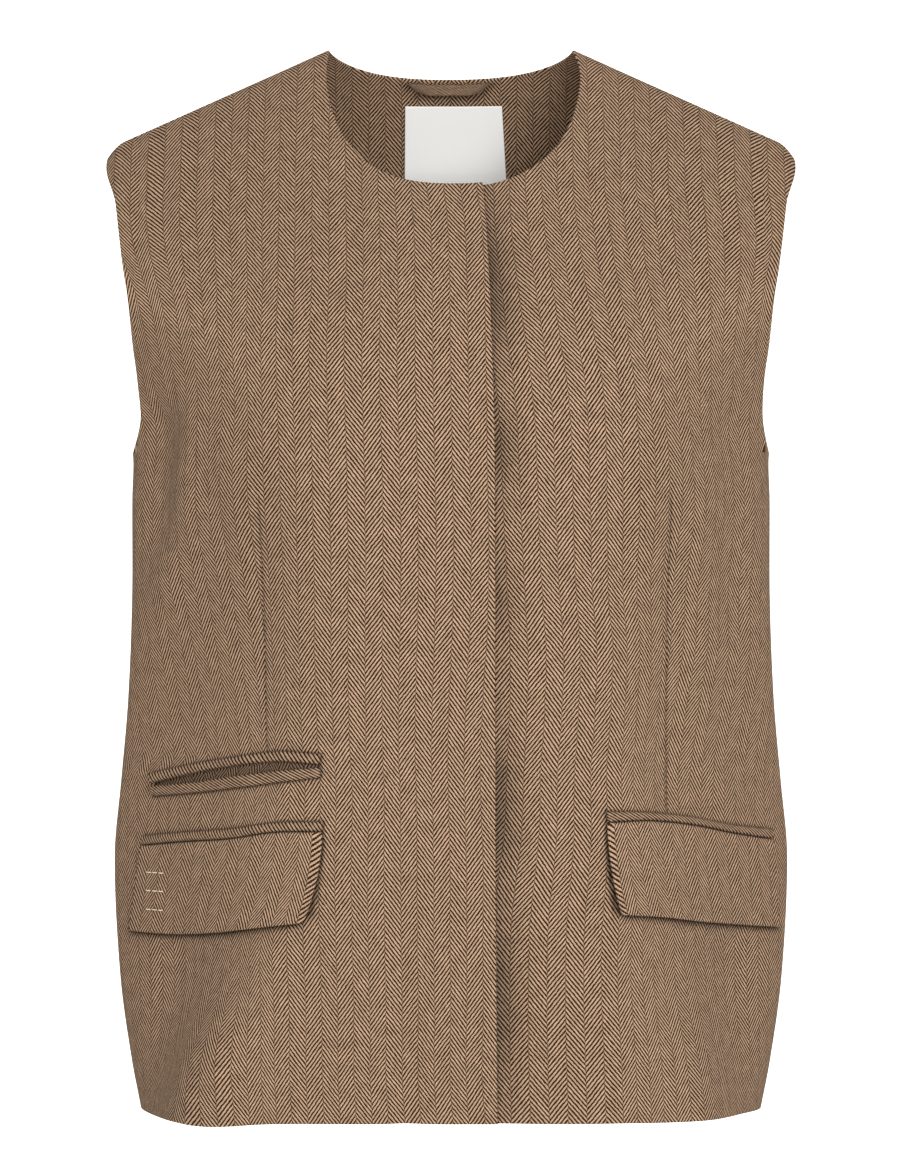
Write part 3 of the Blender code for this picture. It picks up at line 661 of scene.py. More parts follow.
def front_shade(panel, x, height):
    """How much shade is painted on each place on a front, where it would lie in the shade of a seam or
    of a piece on top of it.
    """
    dart = next(dart for dart in DARTS if dart.panel == panel)
    deep = [soft(DART_SHADE, off_line(dart_line(dart), x, height))]
    side = -1.0 if panel == "front_right" else 1.0
    for patch in WELTS + PIPINGS + FLAPS:
        if patch.x_top[0] * side > 0:
            rim = patch_rim(patch, ("top", "inner", "bottom", "outer"))
            deep.append(soft(OUTLINE_SHADE, off_path(*rim, x, height)))
    for patch in FLAPS:
        if patch.x_top[0] * side > 0:
            down = np.clip((patch.tops[-1] - height) / (patch.tops[-1] - patch.lows[-1]), 0.0, 1.0)
            rim = patch_rim(patch, ("inner", "bottom"))
            deep.append(soft(FLAP_SHADE, off_path(*rim, x, height) / blend(FLAP_SHADE_TOP, 1.0, down)))
    if panel == "front_right":
        deep.append(MOUTH_SHADE.strength * in_mouth(x, height))
    else:
        past = np.abs(x - edge_x(height))
        lift = lifted(height) / EDGE_LIFTS[0].rise
        deep.append(soft(LEE_SHADE, past) * np.clip(LEE_LEAST + lift, 0.0, 1.0))
        deep.append(soft(EDGE_SHADE, past))
    return np.maximum.reduce(deep)


def back_shade(x, height):
    """The same painted shade on the hollow side of the back, below the hanger loop."""
    path_x = np.array([LOOP_X_TOP[0], LOOP_X_LOW[0], LOOP_X_LOW[1], LOOP_X_TOP[1]])
    drop = np.array([0.0, LOOP_LOW, LOOP_LOW, 0.0]) - LOOP_DROP
    drop[[0, -1]] += back_top(path_x[[0, -1]])
    return soft(LOOP_SHADE, off_path(path_x, drop, x, height))


# ---- Thin shells of cloth ----------------------------------------------------------------------

def path_lengths(points, axis):
    """Length of cloth run along a grid's rows or columns, from its first point."""
    chords = np.linalg.norm(np.diff(points, axis=axis), axis=-1)
    run = np.cumsum(chords, axis=axis)
    start = np.zeros_like(np.take(run, [0], axis=axis))
    return np.concatenate([start, run], axis=axis)


def edge_distance(points):
    """Distance of each point of a grid from the nearest of its four edges."""
    along, down = path_lengths(points, 1), path_lengths(points, 0)
    return np.minimum.reduce([along, along[:, -1:] - along, down, down[-1:] - down])


def roundness(distance, breadth):
    """Share of the full thickness that is left near a rounded edge."""
    return np.sqrt(1.0 - (1.0 - np.clip(distance / breadth, 0.0, 1.0)) ** 2)


def closed_shell(name, outer, inner, cut, painted_shade, dart_column=None, dart_shift=None):
    """One closed mesh from an outer and an inner grid of points that meet along their edges.

    cut is the place of each point on the flat cloth, and the shade after it how much shade is painted
    on each point.
    Beyond dart_column the cut moves on by dart_shift, the cloth that the dart takes in there.
    """
    rows, columns = outer.shape[:2]
    top = np.arange(rows * columns).reshape(rows, columns)
    under = top.copy()
    count = (rows - 2) * (columns - 2)
    under[1:-1, 1:-1] = rows * columns + np.arange(count).reshape(rows - 2, columns - 2)
    points = np.concatenate([outer.reshape(-1, 3), inner[1:-1, 1:-1].reshape(-1, 3)])

    def quads(index):
        corners = (index[:-1, :-1], index[:-1, 1:], index[1:, 1:], index[1:, :-1])
        return np.stack(corners, axis=-1).reshape(-1, 4)

    faces = np.stack([quads(top), quads(under)[:, ::-1]])
    a, b = outer[:-1, 1:] - outer[:-1, :-1], outer[1:, :-1] - outer[:-1, :-1]
    outwards = outer[:-1, :-1] - inner[:-1, :-1]
    order = -1 if np.sum(np.cross(a, b) * outwards) < 0 else 1
    faces = faces[:, :, ::order].reshape(-1, 4)

    spots = np.stack([quads(top), quads(top)[:, ::-1]])[:, :, ::order].reshape(-1, 4)
    uvs = cut.reshape(-1, 2)[spots]
    if dart_column is not None:
        beyond = np.zeros((rows - 1, columns - 1), dtype=bool)
        beyond[:, dart_column:] = True
        beyond = np.tile(beyond.reshape(-1), 2)
        uvs[beyond, :, 0] += dart_shift.reshape(-1)[spots[beyond]]

    mesh = bpy.data.meshes.new(name)
    mesh.from_pydata(points.tolist(), [], faces.tolist())
    layer = mesh.uv_layers.new(name="cut")
    layer.data.foreach_set("uv", uvs.reshape(-1).astype(np.float32))
    both = np.concatenate([painted_shade.reshape(-1), painted_shade[1:-1, 1:-1].reshape(-1)])
    marks = mesh.attributes.new("painted_shade", "FLOAT", "POINT")
    marks.data.foreach_set("value", both.astype(np.float32))
    mesh.shade_smooth()
    piece = bpy.data.objects.new(name, mesh)
    bpy.context.collection.objects.link(piece)
    return piece


def flat_size(flat):
    """Width, length and area of a grid of cloth that is spread out flat."""
    a, b = flat[1:, 1:] - flat[:-1, :-1], flat[1:, :-1] - flat[:-1, 1:]
    area = float(np.sum(np.abs(a[..., 0] * b[..., 1] - a[..., 1] * b[..., 0])) / 2.0)
    width, length = np.ptp(flat[..., 0]), np.ptp(flat[..., 1])
    return (float(width), float(length)), area


def dress(piece, node, material, flat, held):
    piece.data.materials.append(material)
    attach(piece, "root")
    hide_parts(node)
    (width, length), area = flat_size(flat)
    if held == "folded":
        width *= 2.0        # half of a folded strip is turned under, and doesn't show


# ---- The three panels --------------------------------------------------------------------------

def spaced(length, step, edge, extra=()):
    """Places along a length: even steps, with closer ones in both rounded edges and any extra."""
    close = np.array(ROUND_STEPS) * edge
    even = np.linspace(edge, length - edge, max(2, round(length / step)))
    places = np.concatenate([close, even, length - close, np.array(extra)])
    places = np.unique(np.round(places, 7))
    keep = np.concatenate([[True], np.diff(places) > LEAST_STEP])
    return places[keep]


def closer(places, low, high, step):
    """The same places, with closer steps in one stretch of them."""
    outside = places[(places < low - step) | (places > high)]
    return np.sort(np.concatenate([outside, np.arange(low, high, step)]))


def row_places(close_rows=()):
    """Rows from the hem up: 0 at the hem, 1 at the underarm and 2 at the shoulder."""
    body = UNDERARM - HEM
    heights = spaced(body, CLOTH_STEP, EDGE_ROUND)
    heights = heights[heights < body - CLOTH_STEP / 2]
    for low, high, step in close_rows:
        heights = closer(heights, low - HEM, high - HEM, step)
    yoke = spaced(-UNDERARM, CLOTH_STEP, EDGE_ROUND, [-UNDERARM * CORNER_SHARE]) / -UNDERARM
    yoke = np.concatenate([[0.0], yoke[yoke * -UNDERARM > EDGE_ROUND]])
    return np.concatenate([heights / body, 1.0 + yoke])


def neck_points(angle):
    """x and height on the front neckline: angle 0 is the left shoulder, pi the right one."""
    turn = np.cos(angle)
    side = np.sign(turn)
    x = NECK_CENTRE + NECK_REACH * side * np.abs(turn) ** (2.0 / NECK_SQUARENESS)
    height = FRONT_NECK * np.clip(np.sin(angle), 0.0, 1.0) ** (2.0 / NECK_SQUARENESS)
    curl = np.clip(1.0 + height / NECK_CURL, 0.0, 1.0) ** 2
    return blend(x, side * NECK_HALF, curl), height


def neck_angle(x):
    """The angle at which the neckline's low part passes x."""
    reach = (x - NECK_CENTRE) / NECK_REACH
    return math.acos(math.copysign(abs(reach) ** (NECK_SQUARENESS / 2.0), reach))


def inner_edge(side, rows):
    """A front's inner edge from the hem up: the front edge, then the neckline."""
    corner_x = UNDERLAP_EDGE if side > 0 else float(edge_x(FRONT_NECK))
    corner_angle = neck_angle(corner_x)
    corner = float(neck_points(np.array(corner_angle))[1])
    up = np.clip((rows - 1.0) / CORNER_SHARE, 0.0, 1.0)
    height = np.where(rows < 1.0, blend(HEM, UNDERARM, rows), blend(UNDERARM, corner, up))
    x = np.full_like(height, UNDERLAP_EDGE) if side > 0 else edge_x(height)
    left = np.clip((2.0 - rows) / (1.0 - CORNER_SHARE), 0.0, 1.0) ** NECK_ROWS
    neck_x, neck_height = neck_points(blend(0.0 if side > 0 else math.pi, corner_angle, left))
    on_neck = rows > 1.0 + CORNER_SHARE
    return np.where(on_neck, neck_x, x), np.where(on_neck, neck_height, height)


def outer_edge(rows):
    """x and height up the side seam and the armhole, as on the wearer's left."""
    rise = 0.5 - 0.5 * np.cos(math.pi * np.clip(rows - 1.0, 0.0, 1.0))
    height = np.where(rows < 1.0, blend(HEM, UNDERARM, rows), blend(UNDERARM, TIP, rise))
    x = side_x(height)
    x[-1] = TIP_HALF
    return x, height


def ring_shares(start):
    """Shares of the way in x from an inner edge to the side seam, for places along the cloth."""
    wide = float(half_width(np.array(UNDERARM)))
    xs = blend(start, wide, np.sin(math.pi / 2 * np.arange(FINE + 1) / FINE))
    run = path_lengths(form_points("front", xs, np.full_like(xs, UNDERARM)), 0)
    along = spaced(run[-1], CLOTH_STEP, EDGE_ROUND)
    return (np.interp(along, run, xs) - start) / (wide - start)


def front_grid(panel):
    """x and height of a front's places, and the column that its dart runs along."""
    side = -1.0 if panel == "front_right" else 1.0
    rows = row_places((POCKET_ROWS, FLAP_ROWS))
    dart = next(dart for dart in DARTS if dart.panel == panel)
    x_in, low = inner_edge(side, rows)
    x_out, high = outer_edge(rows)
    x_out = x_out * side
    start = float(side * x_in[np.searchsorted(rows, 1.0)])
    shares = ring_shares(start)

    dart_x = blend(dart.x_top, dart.x_low, (low - dart.top) / (dart.low - dart.top))
    at_dart = (dart_x - x_in) / (x_out - x_in)
    at_dart = np.where(rows > 1.0, np.interp(1.0, rows, at_dart), at_dart)
    column = int(np.argmin(np.abs(shares - np.interp(1.0, rows, at_dart))))
    close = np.array(DART_COLUMNS)
    at_column = shares[column]
    low_x, high_x, step = FLAP_COLUMNS[panel]
    stretch = sorted(abs(at) for at in (low_x, high_x))
    wide = float(side_x(np.array(POCKET_ROWS[0]))) - start
    stretch = [(at - start) / wide for at in stretch]
    shares = closer(np.sort(np.concatenate([shares, at_column + close])), *stretch, step / wide)
    column = int(np.argmin(np.abs(shares - at_column)))

    before = at_dart[:, None] * shares[None, :column] / shares[column]
    after = (1.0 - shares[None, column:]) / (1.0 - shares[column])
    shares = np.concatenate([before, 1.0 - (1.0 - at_dart[:, None]) * after], axis=1)
    x = blend(x_in[:, None], x_out[:, None], shares)
    rise_in = (low - UNDERARM) / (ridge(x_in) - UNDERARM)
    rise_out = (high - UNDERARM) / (ridge(x_out) - UNDERARM)
    rise = blend(rise_in[:, None], rise_out[:, None], shares)
    yoke = blend(UNDERARM, ridge(x), np.clip(rise, 0.0, 1.0))
    height = np.where(rows[:, None] > 1.0, yoke, low[:, None])
    return x, height, column


def back_top(x):
    """Height of the back's upper edge: the neckline, then the shoulder's ridge."""
    flat, end = BACK_NECK_BOW
    neck = BACK_NECK * (1.0 - np.clip(np.abs(x) / NECK_HALF, 0.0, 1.0) ** flat) ** end
    return np.where(np.abs(x) > NECK_HALF, ridge(x), neck)


def back_grid():
    rows = row_places()
    x_out, low = outer_edge(rows)
    neck = NECK_HALF / TIP_HALF
    inner = neck * np.sin(math.pi / 2 * np.linspace(0.0, 1.0, round(NECK_HALF / CLOTH_STEP)))
    wide = float(half_width(np.array(UNDERARM)))
    outer = blend(neck, 1.0, ring_shares(neck * wide))
    half = np.concatenate([inner[:-1], outer[:1], outer[len(ROUND_STEPS):]])
    shares = np.concatenate([-half[:0:-1], half])
    x = x_out[:, None] * shares[None, :]
    up = (low - UNDERARM) / (TIP - UNDERARM)
    yoke = blend(UNDERARM, back_top(x), up[:, None])
    return x, np.where(rows[:, None] > 1.0, yoke, low[:, None])


def pressed_in(x, height):
    """Share of cloth beyond the form's own that lies at each place on a front."""
    comes, goes = (ease((np.abs(x) - low) / (high - low)) for low, high in (PRESS_FROM, PRESS_TO))
    return read(PRESSED_IN, "share", height) * comes * (1.0 - goes)


def cut_places(panel, x, height):
    """Where each place lies on the flat cloth: lengths along the form from x = 0 and underarm."""
    face = "back" if panel == "back" else "front"
    part = np.sin(math.pi / 2 * np.linspace(0.0, 1.0, PATH_PARTS))[:, None, None]
    xs, level = x * part, np.broadcast_to(height, (PATH_PARTS, *height.shape))
    steps = np.hypot(np.diff(xs, axis=0), np.diff(girth_depth(face, xs, level), axis=0))
    if face == "front":
        steps = steps + np.abs(np.diff(xs, axis=0)) * pressed_in(xs[1:], level[1:])
    u = steps.sum(axis=0) * np.sign(x) - CUT_SHIFTS[panel]
    if panel in RIBS:
        closer_by = read(RIBS[panel], "spread", height) * np.clip(x, -SPREAD_TO, SPREAD_TO)
        u = u + read(RIBS[panel], "aside", height) + closer_by
    heights = UNDERARM + (height - UNDERARM) * part
    limit = float(side_x(np.array(UNDERARM))) * GRAIN_LIMIT
    below = x / side_x(height) * side_x(heights)
    start = np.clip(x, -limit, limit)
    above = start + (x - start) * part
    upward = form_points(face, np.where(height < UNDERARM, below, above), heights)
    v = np.linalg.norm(np.diff(upward, axis=0), axis=-1).sum(axis=0)
    return np.stack([u, v * np.sign(height - UNDERARM)], axis=-1)


def dart_intake(panel, height):
    """Cloth taken in by a panel's dart at each height."""
    dart = next(dart for dart in DARTS if dart.panel == panel)
    down = (dart.top - height) / (dart.top - dart.low)
    free = (dart.free_top - height) / (dart.free_top - dart.free_low)
    return dart.intake * ease(down) * (1.0 - ease(free)) * math.copysign(1.0, dart.x_top)


def panel_cloth(panel, material):
    """A front or the back, as a closed thin shell with rounded edges."""
    face = "back" if panel == "back" else "front"
    facing = 1.0 if panel == "back" else -1.0
    column = None
    if panel == "back":
        x, height = back_grid()
    else:
        x, height, column = front_grid(panel)
    cut = cut_places(panel, x, height)
    surface = panel_points(panel, x, height)
    normals = form_normals(face, x, height)
    full = roundness(edge_distance(surface), EDGE_ROUND)[..., None]
    middle = surface - normals * WALL / 2.0
    groove = grooves(panel, x, height)[..., None]
    outer = middle + normals * (full * WALL / 2.0 + groove)
    inner = middle - normals * (full * WALL / 2.0 - np.minimum(groove, 0.0))
    for grid in (outer, inner):
        grid[..., 1] = facing * np.maximum(facing * grid[..., 1], SEAM_GAP / 2.0)
    inner[[0, -1]] = outer[[0, -1]]
    inner[:, [0, -1]] = outer[:, [0, -1]]
    # shade painted on the cloth beside seams, beside pieces laid on it and beside the lifted front
    # edge
    painted_shade = back_shade(x, height) if panel == "back" else front_shade(panel, x, height)
    taken = None if column is None else dart_intake(panel, height)
    piece = closed_shell(panel + "_cloth", outer, inner, cut, painted_shade, column, taken)
    dress(piece, panel, material, cut, "hung")
    return piece


# ---- What is laid on the panels ----------------------------------------------------------------

def patch_off(patch, along, down):
    """How far a patch stands off its panel, more towards its bottom and its inner end."""
    return PATCH_GAP + patch.stand * down**STAND_CURVE * blend(STAND_OUTER, 1.0, along**2)


def shell_between(name, near, far, edge, cut, rim_shade):
    """A closed shell between two grids of points, with its edges rounded over a breadth and shade
    painted along them.
    """
    middle = (near + far) / 2.0
    rim = edge_distance(middle)
    full = roundness(rim, edge)[..., None]
    outer = middle + (far - near) / 2.0 * full
    inner = middle - (far - near) / 2.0 * full
    return closed_shell(name, outer, inner, cut, soft(rim_shade, rim))


def strip_cut(lay, run, fall):
    """Where each place of a strip lies on the flat cloth."""
    return np.stack([lay.start + fall, lay.closeness * run + lay.skew * fall], axis=-1)


def patch_cloth(patch, material, held, rib):
    """A flap, welt or piping laid on its front. A strip's grain runs along it, a flap's down it.

    A flap's first rib ends where its inner edge begins to roll under.
    """
    panel = "front_right" if patch.x_top[0] < 0 else "front_left"
    length = abs(patch.x_top[1] - patch.x_top[0])
    deep = abs(patch.lows[1] - patch.tops[1])
    longest = length * PATCH_CURVE
    along = (spaced(longest, PATCH_STEP, patch.edge) / longest)[None, :]
    down = (spaced(deep, PATCH_STEP, patch.edge) / deep)[:, None]
    along, down = np.broadcast_arrays(along, down)
    x, height = patch_places(patch, along, down)
    off = patch_off(patch, along, down)
    near = panel_points(panel, x, height, off)
    far = panel_points(panel, x, height, off + patch.wall)
    run, fall = path_lengths(far, 1), path_lengths(far, 0)
    if patch.x_top[0] < 0:
        run = run - run[:, -1:]
    else:
        run = run[:, -1:] - run
    if patch.name in FLAP_LAYS:
        flat = np.stack([run, fall], axis=-1)
        lay = FLAP_LAYS[patch.name]
        past = 1.0 - along - lay.roll
        across = lay.reach * np.maximum(past, 0.0) + lay.slow * np.minimum(past, 0.0)
        cut = np.stack([rib + across, -fall], axis=-1)
        rim_shade = FLAP_EDGE_SHADE
    else:
        flat = np.stack([fall, run], axis=-1)
        cut = strip_cut(STRIP_LAYS[patch.name], run, fall)
        rim_shade = STRIP_EDGE_SHADE
    piece = shell_between(patch.name + "_cloth", near, far, patch.edge, cut, rim_shade)
    dress(piece, patch.name, material, flat, held)
    return piece


def inside_cloth(node, x_top, x_low, top_at, low_at, wall, bow, edge, material, held):
    """A piece sewn on the hollow side of the back. Its middle stands off by bow at the bottom."""
    length = x_top[1] - x_top[0]
    deep = float(np.mean(top_at(np.zeros(1))) - np.mean(low_at(np.zeros(1))))
    along = (spaced(length, PATCH_STEP, edge) / length)[None, :]
    down = (spaced(deep, INSIDE_STEP, edge) / deep)[:, None]
    along, down = np.broadcast_arrays(along, down)
    x = blend(blend(*x_top, along), blend(*x_low, along), down)
    height = blend(top_at(x), low_at(x), down)
    off = INSIDE_GAP + bow * down * ease(np.minimum(along, 1.0 - along) / BOW_END)
    near = panel_points("back", x, height, -WALL - off)
    far = panel_points("back", x, height, -WALL - off - wall)
    fall, run = path_lengths(far, 0), path_lengths(far, 1)
    if node in STRIP_LAYS:
        flat = np.stack([fall, run], axis=-1)
        cut, rim_shade = strip_cut(STRIP_LAYS[node], run, fall), STRIP_EDGE_SHADE
    else:
        flat = np.stack([run, -fall], axis=-1)
        cut, rim_shade = flat, FLAP_EDGE_SHADE
    piece = shell_between(node + "_cloth", near, far, edge, cut, rim_shade)
    dress(piece, node, material, flat, held)
    return piece


# ---- Materials ---------------------------------------------------------------------------------

# Unevenness of the cloth: the scale and detail of a noise, and how far it goes either way, in
# metres on the cloth or as a share of the tone.
Noise = namedtuple("Noise", "scale detail reach")
LINES_WANDER = Noise(55.0, 2.0, 0.0009)
YARN_WANDER = Noise(520.0, 1.0, 0.0007)
HAIRS = Noise(1500.0, 2.0, 0.10)
CLOUDS = Noise(130.0, 3.0, 0.13)
NOISE_LOW, NOISE_HIGH = 0.3, 0.7    # the values between which a noise mostly lies
FLOAT_FROM, FLOAT_TO = 0.21, 0.29   # where a line turns from dark to pale, as a share of its height
STEP_SHARE = 0.6            # how sharply the lines step from yarn to yarn
TURN_GAP = 0.00055          # half breadth of the dark gap where the lines turn back
TURN_DEPTH = 0.55           # share of the pale yarn that still shows in that gap
DEEPEST = 0.05              # share of the tone that is left where the painted shade is deepest
SHEEN = "#D8C4AE"           # colour of the light on the wool's hairs
RIBBON_RIB = 0.00035        # height of one fine rib of the label's ribbon
STRIP_TONE = 0.87           # tone of the pressed strips, as a share of the panels'


def add(tree, kind, inputs=None, **settings):
    """Adds a node, sets it, and sets or links its inputs. A node given links its first output."""
    node = tree.nodes.new(kind)
    for name, value in settings.items():
        setattr(node, name, value)
    for name, value in (inputs or {}).items():
        if isinstance(value, bpy.types.Node):
            value = value.outputs[0]
        if isinstance(value, bpy.types.NodeSocket):
            tree.links.new(value, node.inputs[name])
        else:
            node.inputs[name].default_value = value
    return node


def new_material(name):
    """An empty node material and its Principled shader."""
    material = bpy.data.materials.new(name)
    material.use_nodes = True
    return material, material.node_tree, material.node_tree.nodes["Principled BSDF"]


def set_finish(tree, shader, values, colour, bump=None):
    """Links a colour and a bump to a shader, and sets the values of its other sockets."""
    tree.links.new(colour.outputs[0], shader.inputs["Base Color"])
    if bump:
        tree.links.new(bump.outputs[0], shader.inputs["Normal"])
    for name, value in values.items():
        shader.inputs[name].default_value = value


def herringbone(name, sizes, light, dark, gap_depth=TURN_DEPTH):
    """Herringbone twill of woollen yarn: pale warp floats step over a dark weft.

    The lines turn back at each rib, half a line apart, so a thin dark gap runs down there. The
    yarn is matt and hairy, which gives a broad soft sheen and slightly uneven lines.
    """
    material, tree, shader = new_material(name)
    cut = add(tree, "ShaderNodeUVMap", uv_map="cut")
    place = cut
    for noise in (LINES_WANDER, YARN_WANDER):
        aside = add(tree, "ShaderNodeTexNoise",
                    {"Vector": cut, "Scale": noise.scale, "Detail": noise.detail})
        aside = add(tree, "ShaderNodeVectorMath",
                    {0: aside.outputs["Color"], 1: (0.5, 0.5, 0.5)}, operation="SUBTRACT")
        aside = add(tree, "ShaderNodeVectorMath", {0: aside, "Scale": noise.reach},
                    operation="SCALE")
        place = add(tree, "ShaderNodeVectorMath", {0: place, 1: aside}, operation="ADD")
    place = add(tree, "ShaderNodeSeparateXYZ", {0: place})
    u, v = place.outputs["X"], place.outputs["Y"]

    across = add(tree, "ShaderNodeMath", {0: u, 1: sizes.rib}, operation="PINGPONG")
    stepped = add(tree, "ShaderNodeMath", {0: across, 1: sizes.yarn}, operation="SNAP")
    across = add(tree, "ShaderNodeMix", {0: STEP_SHARE, 2: across, 3: stepped}, data_type="FLOAT")
    ribs = add(tree, "ShaderNodeMath", {0: u, 1: sizes.rib}, operation="DIVIDE")
    ribs = add(tree, "ShaderNodeMath", {0: ribs}, operation="FLOOR")
    half_lines = add(tree, "ShaderNodeMath", {0: ribs, 1: 0.5}, operation="MULTIPLY")
    climb = add(tree, "ShaderNodeMath", {0: across, 1: sizes.line_slope, 2: v},
                operation="MULTIPLY_ADD")
    lines = add(tree, "ShaderNodeMath", {0: climb, 1: 1.0 / sizes.line, 2: half_lines},
                operation="MULTIPLY_ADD")
    wave = add(tree, "ShaderNodeMath", {0: lines, 1: 0.5}, operation="PINGPONG")
    float_share = add(tree, "ShaderNodeMapRange",
                      {"Value": wave, "From Min": FLOAT_FROM, "From Max": FLOAT_TO},
                      interpolation_type="SMOOTHSTEP")

    to_turn = add(tree, "ShaderNodeMath", {0: u, 1: sizes.rib / 2.0}, operation="PINGPONG")
    gap = add(tree, "ShaderNodeMapRange",
              {"Value": to_turn, "From Max": TURN_GAP, "To Min": gap_depth, "To Max": 1.0})
    float_share = add(tree, "ShaderNodeMath", {0: float_share, 1: gap}, operation="MULTIPLY")

    tones = []
    for noise, mean in ((HAIRS, 0.0), (CLOUDS, 1.0)):
        tone = add(tree, "ShaderNodeTexNoise",
                   {"Vector": cut, "Scale": noise.scale, "Detail": noise.detail})
        tones.append(add(tree, "ShaderNodeMapRange",
                         {"Value": tone, "From Min": NOISE_LOW, "From Max": NOISE_HIGH,
                          "To Min": mean - noise.reach, "To Max": mean + noise.reach}))
    hairs, cloud = tones
    mixed = add(tree, "ShaderNodeMath", {0: float_share, 1: hairs}, operation="ADD", use_clamp=True)
    colour = add(tree, "ShaderNodeMix", {0: mixed, 6: (*dark, 1.0), 7: (*light, 1.0)},
                 data_type="RGBA")
    # a mesh attribute darkens the colour here: shade painted where seams, flaps, the pocket's mouth
    # and the lifted edge would shade the cloth
    painted_shade = add(tree, "ShaderNodeAttribute", attribute_name="painted_shade")
    painted_shade = add(tree, "ShaderNodeMapRange", {"Value": painted_shade.outputs["Fac"], "To Min": 1.0,
                                              "To Max": DEEPEST})
    tone = add(tree, "ShaderNodeMath", {0: cloud, 1: painted_shade}, operation="MULTIPLY")
    colour = add(tree, "ShaderNodeVectorMath", {0: colour.outputs[2], "Scale": tone},
                 operation="SCALE")

    bump = add(tree, "ShaderNodeBump", {"Strength": 0.5, "Distance": 0.00025, "Height": mixed})
    matt = {"Roughness": 0.92, "Specular IOR Level": 0.10, "Sheen Weight": 0.03,
            "Sheen Roughness": 0.5, "Sheen Tint": (*linear(SHEEN), 1.0)}
    set_finish(tree, shader, matt, colour, bump)
    return material


def satin_ribbon(name, colour):
    """White woven satin ribbon: fine weft ribs, closely beaten, with a faint silky gloss."""
    material, tree, shader = new_material(name)
    cut = add(tree, "ShaderNodeUVMap", uv_map="cut")
    place = add(tree, "ShaderNodeSeparateXYZ", {0: cut})
    rib = add(tree, "ShaderNodeMath", {0: place.outputs["Y"], 1: RIBBON_RIB}, operation="PINGPONG")
    rib = add(tree, "ShaderNodeMath", {0: rib, 1: 1.0 / RIBBON_RIB}, operation="MULTIPLY")
    threads = add(tree, "ShaderNodeTexNoise", {"Vector": cut, "Scale": 1800.0, "Detail": 1.0})
    height = add(tree, "ShaderNodeMath", {0: rib, 1: threads}, operation="ADD")
    shade = add(tree, "ShaderNodeMapRange", {"Value": height, "From Max": 2.0, "To Min": 0.96,
                                             "To Max": 1.02})
    colour = add(tree, "ShaderNodeVectorMath", {0: colour, "Scale": shade}, operation="SCALE")
    bump = add(tree, "ShaderNodeBump", {"Strength": 0.2, "Distance": 0.00008, "Height": height})
    silky = {"Roughness": 0.55, "Specular IOR Level": 0.4, "Sheen Weight": 0.05}
    set_finish(tree, shader, silky, colour, bump)
    return material


def cotton_thread(name, colour):
    """Twisted cotton thread: two plies wind round each other, matt and slightly hairy."""
    material, tree, shader = new_material(name)
    place = add(tree, "ShaderNodeTexCoord").outputs["Object"]
    plies = add(tree, "ShaderNodeTexWave", {"Vector": place, "Scale": 260.0, "Distortion": 1.5},
                bands_direction="DIAGONAL")
    shade = add(tree, "ShaderNodeMapRange", {"Value": plies.outputs["Fac"], "To Min": 0.82})
    colour = add(tree, "ShaderNodeVectorMath", {0: colour, "Scale": shade}, operation="SCALE")
    bump = add(tree, "ShaderNodeBump", {"Strength": 0.4, "Distance": 0.0001,
                                        "Height": plies.outputs["Fac"]})
    set_finish(tree, shader, {"Roughness": 0.8, "Sheen Weight": 0.1}, colour, bump)
    return material


def studio_paper(name, colour):
    """Seamless background paper: uncoated, dead matt, with a barely uneven tone."""
    material, tree, shader = new_material(name)
    place = add(tree, "ShaderNodeTexCoord").outputs["Object"]
    grain = add(tree, "ShaderNodeTexNoise", {"Vector": place, "Scale": 3.0, "Detail": 2.0})
    shade = add(tree, "ShaderNodeMapRange", {"Value": grain, "To Min": 0.98, "To Max": 1.0})
    colour = add(tree, "ShaderNodeVectorMath", {0: colour, "Scale": shade}, operation="SCALE")
    set_finish(tree, shader, {"Roughness": 1.0, "Specular IOR Level": 0.0}, colour)
    return material


# ---- Sizes and colours that a user would change ------------------------------------------------

class VestWeave(bpy.types.PropertyGroup):
    """The herringbone and the colours of its yarns."""

    rib: bpy.props.FloatProperty(
        name="Rib", description="Width of one rib, in which the lines run one way",
        default=0.01045, min=0.002, unit="LENGTH")
    line: bpy.props.FloatProperty(
        name="Line", description="Height of one pale and one dark line, along the grain",
        default=0.00325, min=0.0005, unit="LENGTH", precision=5)
    line_slope: bpy.props.FloatProperty(
        name="Slope", description="How far a line climbs for each step across", default=1.31)
    yarn: bpy.props.FloatProperty(
        name="Yarn", description="Spacing of the warp yarns, by which the lines step",
        default=0.00062, min=0.0002, unit="LENGTH", precision=5)
    light: bpy.props.FloatVectorProperty(
        name="Pale yarn", description="Colour of the warp", subtype="COLOR", min=0.0, max=1.0,
        default=linear("#B1947A"))
    dark: bpy.props.FloatVectorProperty(
        name="Dark yarn", description="Colour of the weft", subtype="COLOR", min=0.0, max=1.0,
        default=linear("#261001"))
    ribbon: bpy.props.FloatVectorProperty(
        name="Label", description="Colour of the label's ribbon", subtype="COLOR", min=0.0,
        max=1.0, default=linear("#FCFCFA"))
    thread: bpy.props.FloatVectorProperty(
        name="Thread", description="Colour of the tacking thread", subtype="COLOR", min=0.0,
        max=1.0, default=linear("#F0DDC6"))


